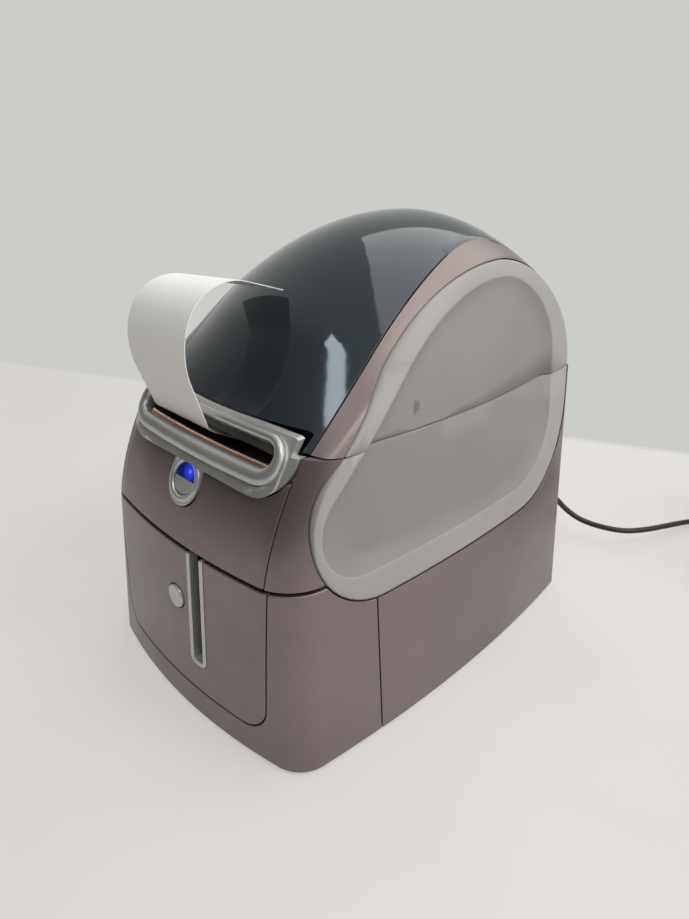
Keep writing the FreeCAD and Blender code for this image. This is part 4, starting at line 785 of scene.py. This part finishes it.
def make_side_panels():
    """Both panels, each parted at the lid line: the lid's half and the body's half."""
    rings = panel_rings()
    inner = [(y, z) for x, y, z in rings[len(RIM_SECTION) - 1]]
    # The dish faces get a darker, slightly rougher copy of the grey finish: painted shade in the recess.
    dish = scuffed_panel("panel_dish_painted_shade", (0.216, 0.204, 0.201, 1), (0.248, 0.235, 0.232, 1), 0.48)
    for side, hand in ((1, "right"), (-1, "left")):
        for half, keep_above in (("upper", True), ("lower", False)):
            node = "side_panel_%s_%s" % (half, hand)
            mesh = banded(node + "_dished", [[(side * x, y, z) for x, y, z in ring] for ring in rings])
            b = bmesh.new()
            b.from_mesh(mesh)
            bmesh.ops.remove_doubles(b, verts=b.verts, dist=PANEL_WELD)
            level = (LID_LINE + (SEAM_HALF if keep_above else -SEAM_HALF)) * MM
            bmesh.ops.bisect_plane(b, geom=b.verts[:] + b.edges[:] + b.faces[:], plane_co=(0, 0, level),
                                   plane_no=(0, 0, -1 if keep_above else 1), clear_outer=True)
            bmesh.ops.recalc_face_normals(b, faces=b.faces)
            face = max(b.faces, key=lambda f: f.calc_area())
            if face.normal.x * side < 0:
                bmesh.ops.reverse_faces(b, faces=b.faces)
            b.to_mesh(mesh)
            b.free()
            panel = piece(node + "_dished", mesh, body_of[node], "panel_grey")
            mesh.materials.append(dish)
            # faces sunk into the dish take the darker finish with the painted shade
            for face in mesh.polygons:
                y, z = face.center.y / MM, face.center.z / MM
                if rim_at(y, z) - abs(face.center.x) / MM > DISH_EDGE and inside(inner, y, z):
                    face.material_index = 1
            walled(panel, PANEL_WALL)
            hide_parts(node)


make_side_panels()

# Label strip and label roll
CURL_FOOT = 0.119
CURL_BACK = -0.058
STRIP_LEFT = -0.0332
BARE_BACKING_Y = -0.052
BARE_BACKING_Z = 0.150
STRIP_HALF = 0.018
STRIP_TWIST_Z, STRIP_TWIST_Y = 1.3, 0.9
STRIP_BULGE, STRIP_BULGE_RUN = 0.0026, 0.046
ROLL_STEPS = 14
ROLL_SPOTS = 96
ROLL_CHAMFER = 0.3


def make_label_strip():
    """Printed web that curls out of the slot; its end is bare, translucent backing."""
    mesh = merged_mesh("label_strip")
    for v in mesh.vertices:
        away = max(0.0, v.co.z - CURL_FOOT)
        v.co.z += away * (v.co.x - STRIP_LEFT - STRIP_HALF) * STRIP_TWIST_Z
        v.co.y += away * (v.co.x - STRIP_LEFT - STRIP_HALF) * STRIP_TWIST_Y
        if v.co.y < CURL_BACK:
            v.co.y += STRIP_BULGE * math.sin(math.pi * min(1.0, away / STRIP_BULGE_RUN))
    mesh.set_sharp_from_angle(angle=math.radians(40))
    strip = piece("label_web", mesh, "body", "label_paper")
    mesh.materials.append(backing_paper())
    for face in mesh.polygons:
        if face.center.y > BARE_BACKING_Y and face.center.z > BARE_BACKING_Z:
            face.material_index = 1
    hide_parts("label_strip")
    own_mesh(strip)


def make_label_roll():
    """Roll with slightly uneven windings on its ends."""
    low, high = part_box("label_roll")
    centre = Vector(((low[0] + high[0]) / 2, ROLL_AXIS[0], ROLL_AXIS[1])) / MM
    half = (high[0] - low[0]) / 2 / MM
    outer = (high[2] - low[2]) / 2 / MM
    section = [(half - 0.25, outer), (half - 0.02, outer - ROLL_CHAMFER)]
    for k in range(1, ROLL_STEPS + 1):
        radius = outer - ROLL_CHAMFER - (outer - ROLL_HOLE - ROLL_CHAMFER) * k / ROLL_STEPS
        section.append((half - (0.30 if k % 3 == 1 else 0.05 if k % 3 == 2 else 0.16), radius))
    section += [(-x, r) for x, r in reversed(section)]
    turns = [2 * math.pi * k / ROLL_SPOTS for k in range(ROLL_SPOTS)]
    rings = [[centre + Vector((x, r * math.cos(a), r * math.sin(a))) for a in turns] for x, r in section]
    roll = piece("label_roll_wound", banded("label_roll_wound", rings, closed=True), body_of["label_roll"],
                 wound_edge())
    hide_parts("label_roll")


make_label_strip()
make_label_roll()


# Screws, repeated with Geometry Nodes
SCREW_RADIUS, SCREW_HEIGHT = 2.8, 1.0
HEAD_NARROWING = 0.78
CROSS_BAR = (0.0030, 0.0006, 0.0012)


def screw_tree():
    """Cross-head screws on the points of a mesh."""
    tree, start, end = new_tree("pan_screw_heads", "Head Radius", "Head Height")
    nodes, links = tree.nodes, tree.links
    head = nodes.new("GeometryNodeMeshCone")
    head.inputs["Vertices"].default_value = 32
    links.new(start.outputs["Head Radius"], head.inputs["Radius Bottom"])
    links.new(start.outputs["Head Height"], head.inputs["Depth"])
    narrow = nodes.new("ShaderNodeMath")
    narrow.operation = "MULTIPLY"
    narrow.inputs[1].default_value = HEAD_NARROWING
    links.new(start.outputs["Head Radius"], narrow.inputs[0])
    links.new(narrow.outputs["Value"], head.inputs["Radius Top"])
    cross = None
    for turn in (0.0, math.pi / 2):
        bar = nodes.new("GeometryNodeMeshCube")
        bar.inputs["Size"].default_value = CROSS_BAR
        place = nodes.new("GeometryNodeTransform")
        place.inputs["Rotation"].default_value = (0, 0, turn)
        links.new(start.outputs["Head Height"], place.inputs["Translation"])
        links.new(bar.outputs["Mesh"], place.inputs["Geometry"])
        carve = nodes.new("GeometryNodeMeshBoolean")
        carve.operation = "DIFFERENCE"
        links.new((cross or head).outputs["Mesh"], carve.inputs["Mesh 1"])
        links.new(place.outputs["Geometry"], carve.inputs["Mesh 2"])
        cross = carve
    repeat_on_points(tree, start, end, cross.outputs["Mesh"], (math.pi, 0, 0), "steel")
    return tree


def make_screws():
    low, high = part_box("pan_screws")
    radius, height = SCREW_RADIUS * MM, SCREW_HEIGHT * MM
    mesh = bpy.data.meshes.new("pan_screw_spots")
    mesh.from_pydata([(x, y, low[2] + height) for x in (low[0] + radius, high[0] - radius)
                      for y in (low[1] + radius, high[1] - radius)], [], [])
    holder = bpy.data.objects.new("pan_screw_spots", mesh)
    bpy.context.scene.collection.objects.link(holder)
    maker = holder.modifiers.new("heads", "NODES")
    maker.node_group = screw_tree()
    set_input(maker, "Head Radius", radius)
    set_input(maker, "Head Height", height)
    heads = piece("pan_screw_heads", built(holder), "body", "steel")
    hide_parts("pan_screws")


make_screws()

# Tie round the put-away coil
TIE_INNER = (11.0, 25.8, 0.18, 16.3)
TIE_OUTER = (10.2, 26.6, 0.02, 17.1)
TIE_HALF = 3.0
TIE_INNER_R, TIE_OUTER_R = 1.6, 2.2


def make_tie():
    def loop(size, radius, along):
        near, far, low, high = size
        spots = rounded_loop((far - near) / 2, low, high, radius, corner=6, side=4)
        return [(COIL_CENTRE[0] + along, COIL_CENTRE[1] + (near + far) / 2 + r, z) for r, z in spots]

    rings = [loop(TIE_INNER, TIE_INNER_R, -TIE_HALF), loop(TIE_OUTER, TIE_OUTER_R, -TIE_HALF),
             loop(TIE_OUTER, TIE_OUTER_R, TIE_HALF), loop(TIE_INNER, TIE_INNER_R, TIE_HALF)]
    piece("coil_tie", banded("coil_tie", rings, closed=True), "body", "soft_rubber")


# Power lead
LEAD_R = 1.6
LEAD_ROUTE = [
    (38.0, 116.5, 30.0), (38.0, 127.5, 30.0), (40.1, 137.2, 24.2), (46.2, 142.5, 15.7),
    (57.1, 144.6, 11.4), (76.3, 149.0, 11.8), (84.6, 163.5, 10.2), (90.4, 179.5, 8.6),
    (95.0, 195.0, 6.6), (98.6, 209.5, 3.4), (99.9, 221.0, 1.9), (100.0, 232.0, 1.8)]
COIL_CENTRE = (123.5, 235.2, 1.8)
COIL_LAYERS = 4
COIL_TURNS = 2.5
COIL_CLIMB = 0.5
COIL_INNER = 13.0
COIL_OUTER = 23.5
COIL_PITCH = 4.2
COIL_SPOTS = 16
ADAPTER_ENTRY = (147.0, 232.0)


def coil_spot(turns):
    """Point of the put-away coil: layers that wind in and out, climbing where they reverse."""
    each = COIL_TURNS + COIL_CLIMB
    layer = min(int(turns / each), COIL_LAYERS - 1)
    part = min(turns - layer * each, COIL_TURNS)
    climb = max(0.0, turns - layer * each - COIL_TURNS) / COIL_CLIMB
    radius = COIL_OUTER - COIL_PITCH * part if layer % 2 == 0 else COIL_INNER + COIL_PITCH * part
    radius /= math.cos(math.pi / COIL_SPOTS)
    angle = math.pi - 2 * math.pi * turns
    rise = COIL_PITCH * (layer + climb * climb * (3 - 2 * climb))
    return (COIL_CENTRE[0] + radius * math.cos(angle), COIL_CENTRE[1] + radius * math.sin(angle),
            COIL_CENTRE[2] + rise)


def make_lead():
    """One lead from the socket, over the table and through the coil to the adapter."""
    total = COIL_LAYERS * (COIL_TURNS + COIL_CLIMB) - COIL_CLIMB
    spots = LEAD_ROUTE + [coil_spot(k / COIL_SPOTS) for k in range(int(total * COIL_SPOTS) + 1)]
    last = spots[-1]
    spots.append((ADAPTER_ENTRY[0], last[1] - LEAD_R, last[2]))
    spots.append((*ADAPTER_ENTRY, last[2]))
    curve = bpy.data.curves.new("power_lead_line", "CURVE")
    curve.dimensions = "3D"
    curve.bevel_depth = LEAD_R * MM
    curve.bevel_resolution = 4
    curve.resolution_u = 6
    curve.use_fill_caps = True
    line = curve.splines.new("NURBS")
    line.points.add(len(spots) - 1)
    for point, spot in zip(line.points, spots):
        point.co = (spot[0] * MM, spot[1] * MM, spot[2] * MM, 1.0)
    line.order_u = 3
    line.use_endpoint_u = True
    curve.materials.append(finishes["cable_black"])
    lead = bpy.data.objects.new("power_cord", curve)
    bpy.context.scene.collection.objects.link(lead)
    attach(lead, "body")
    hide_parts("power_lead", "power_lead_coil")


make_lead()
make_tie()

# CAD pieces that keep their own shape
for name, node in frame["nodes"].items():
    node.data.materials.clear()
    node.data.materials.append(finishes[slots[name]])
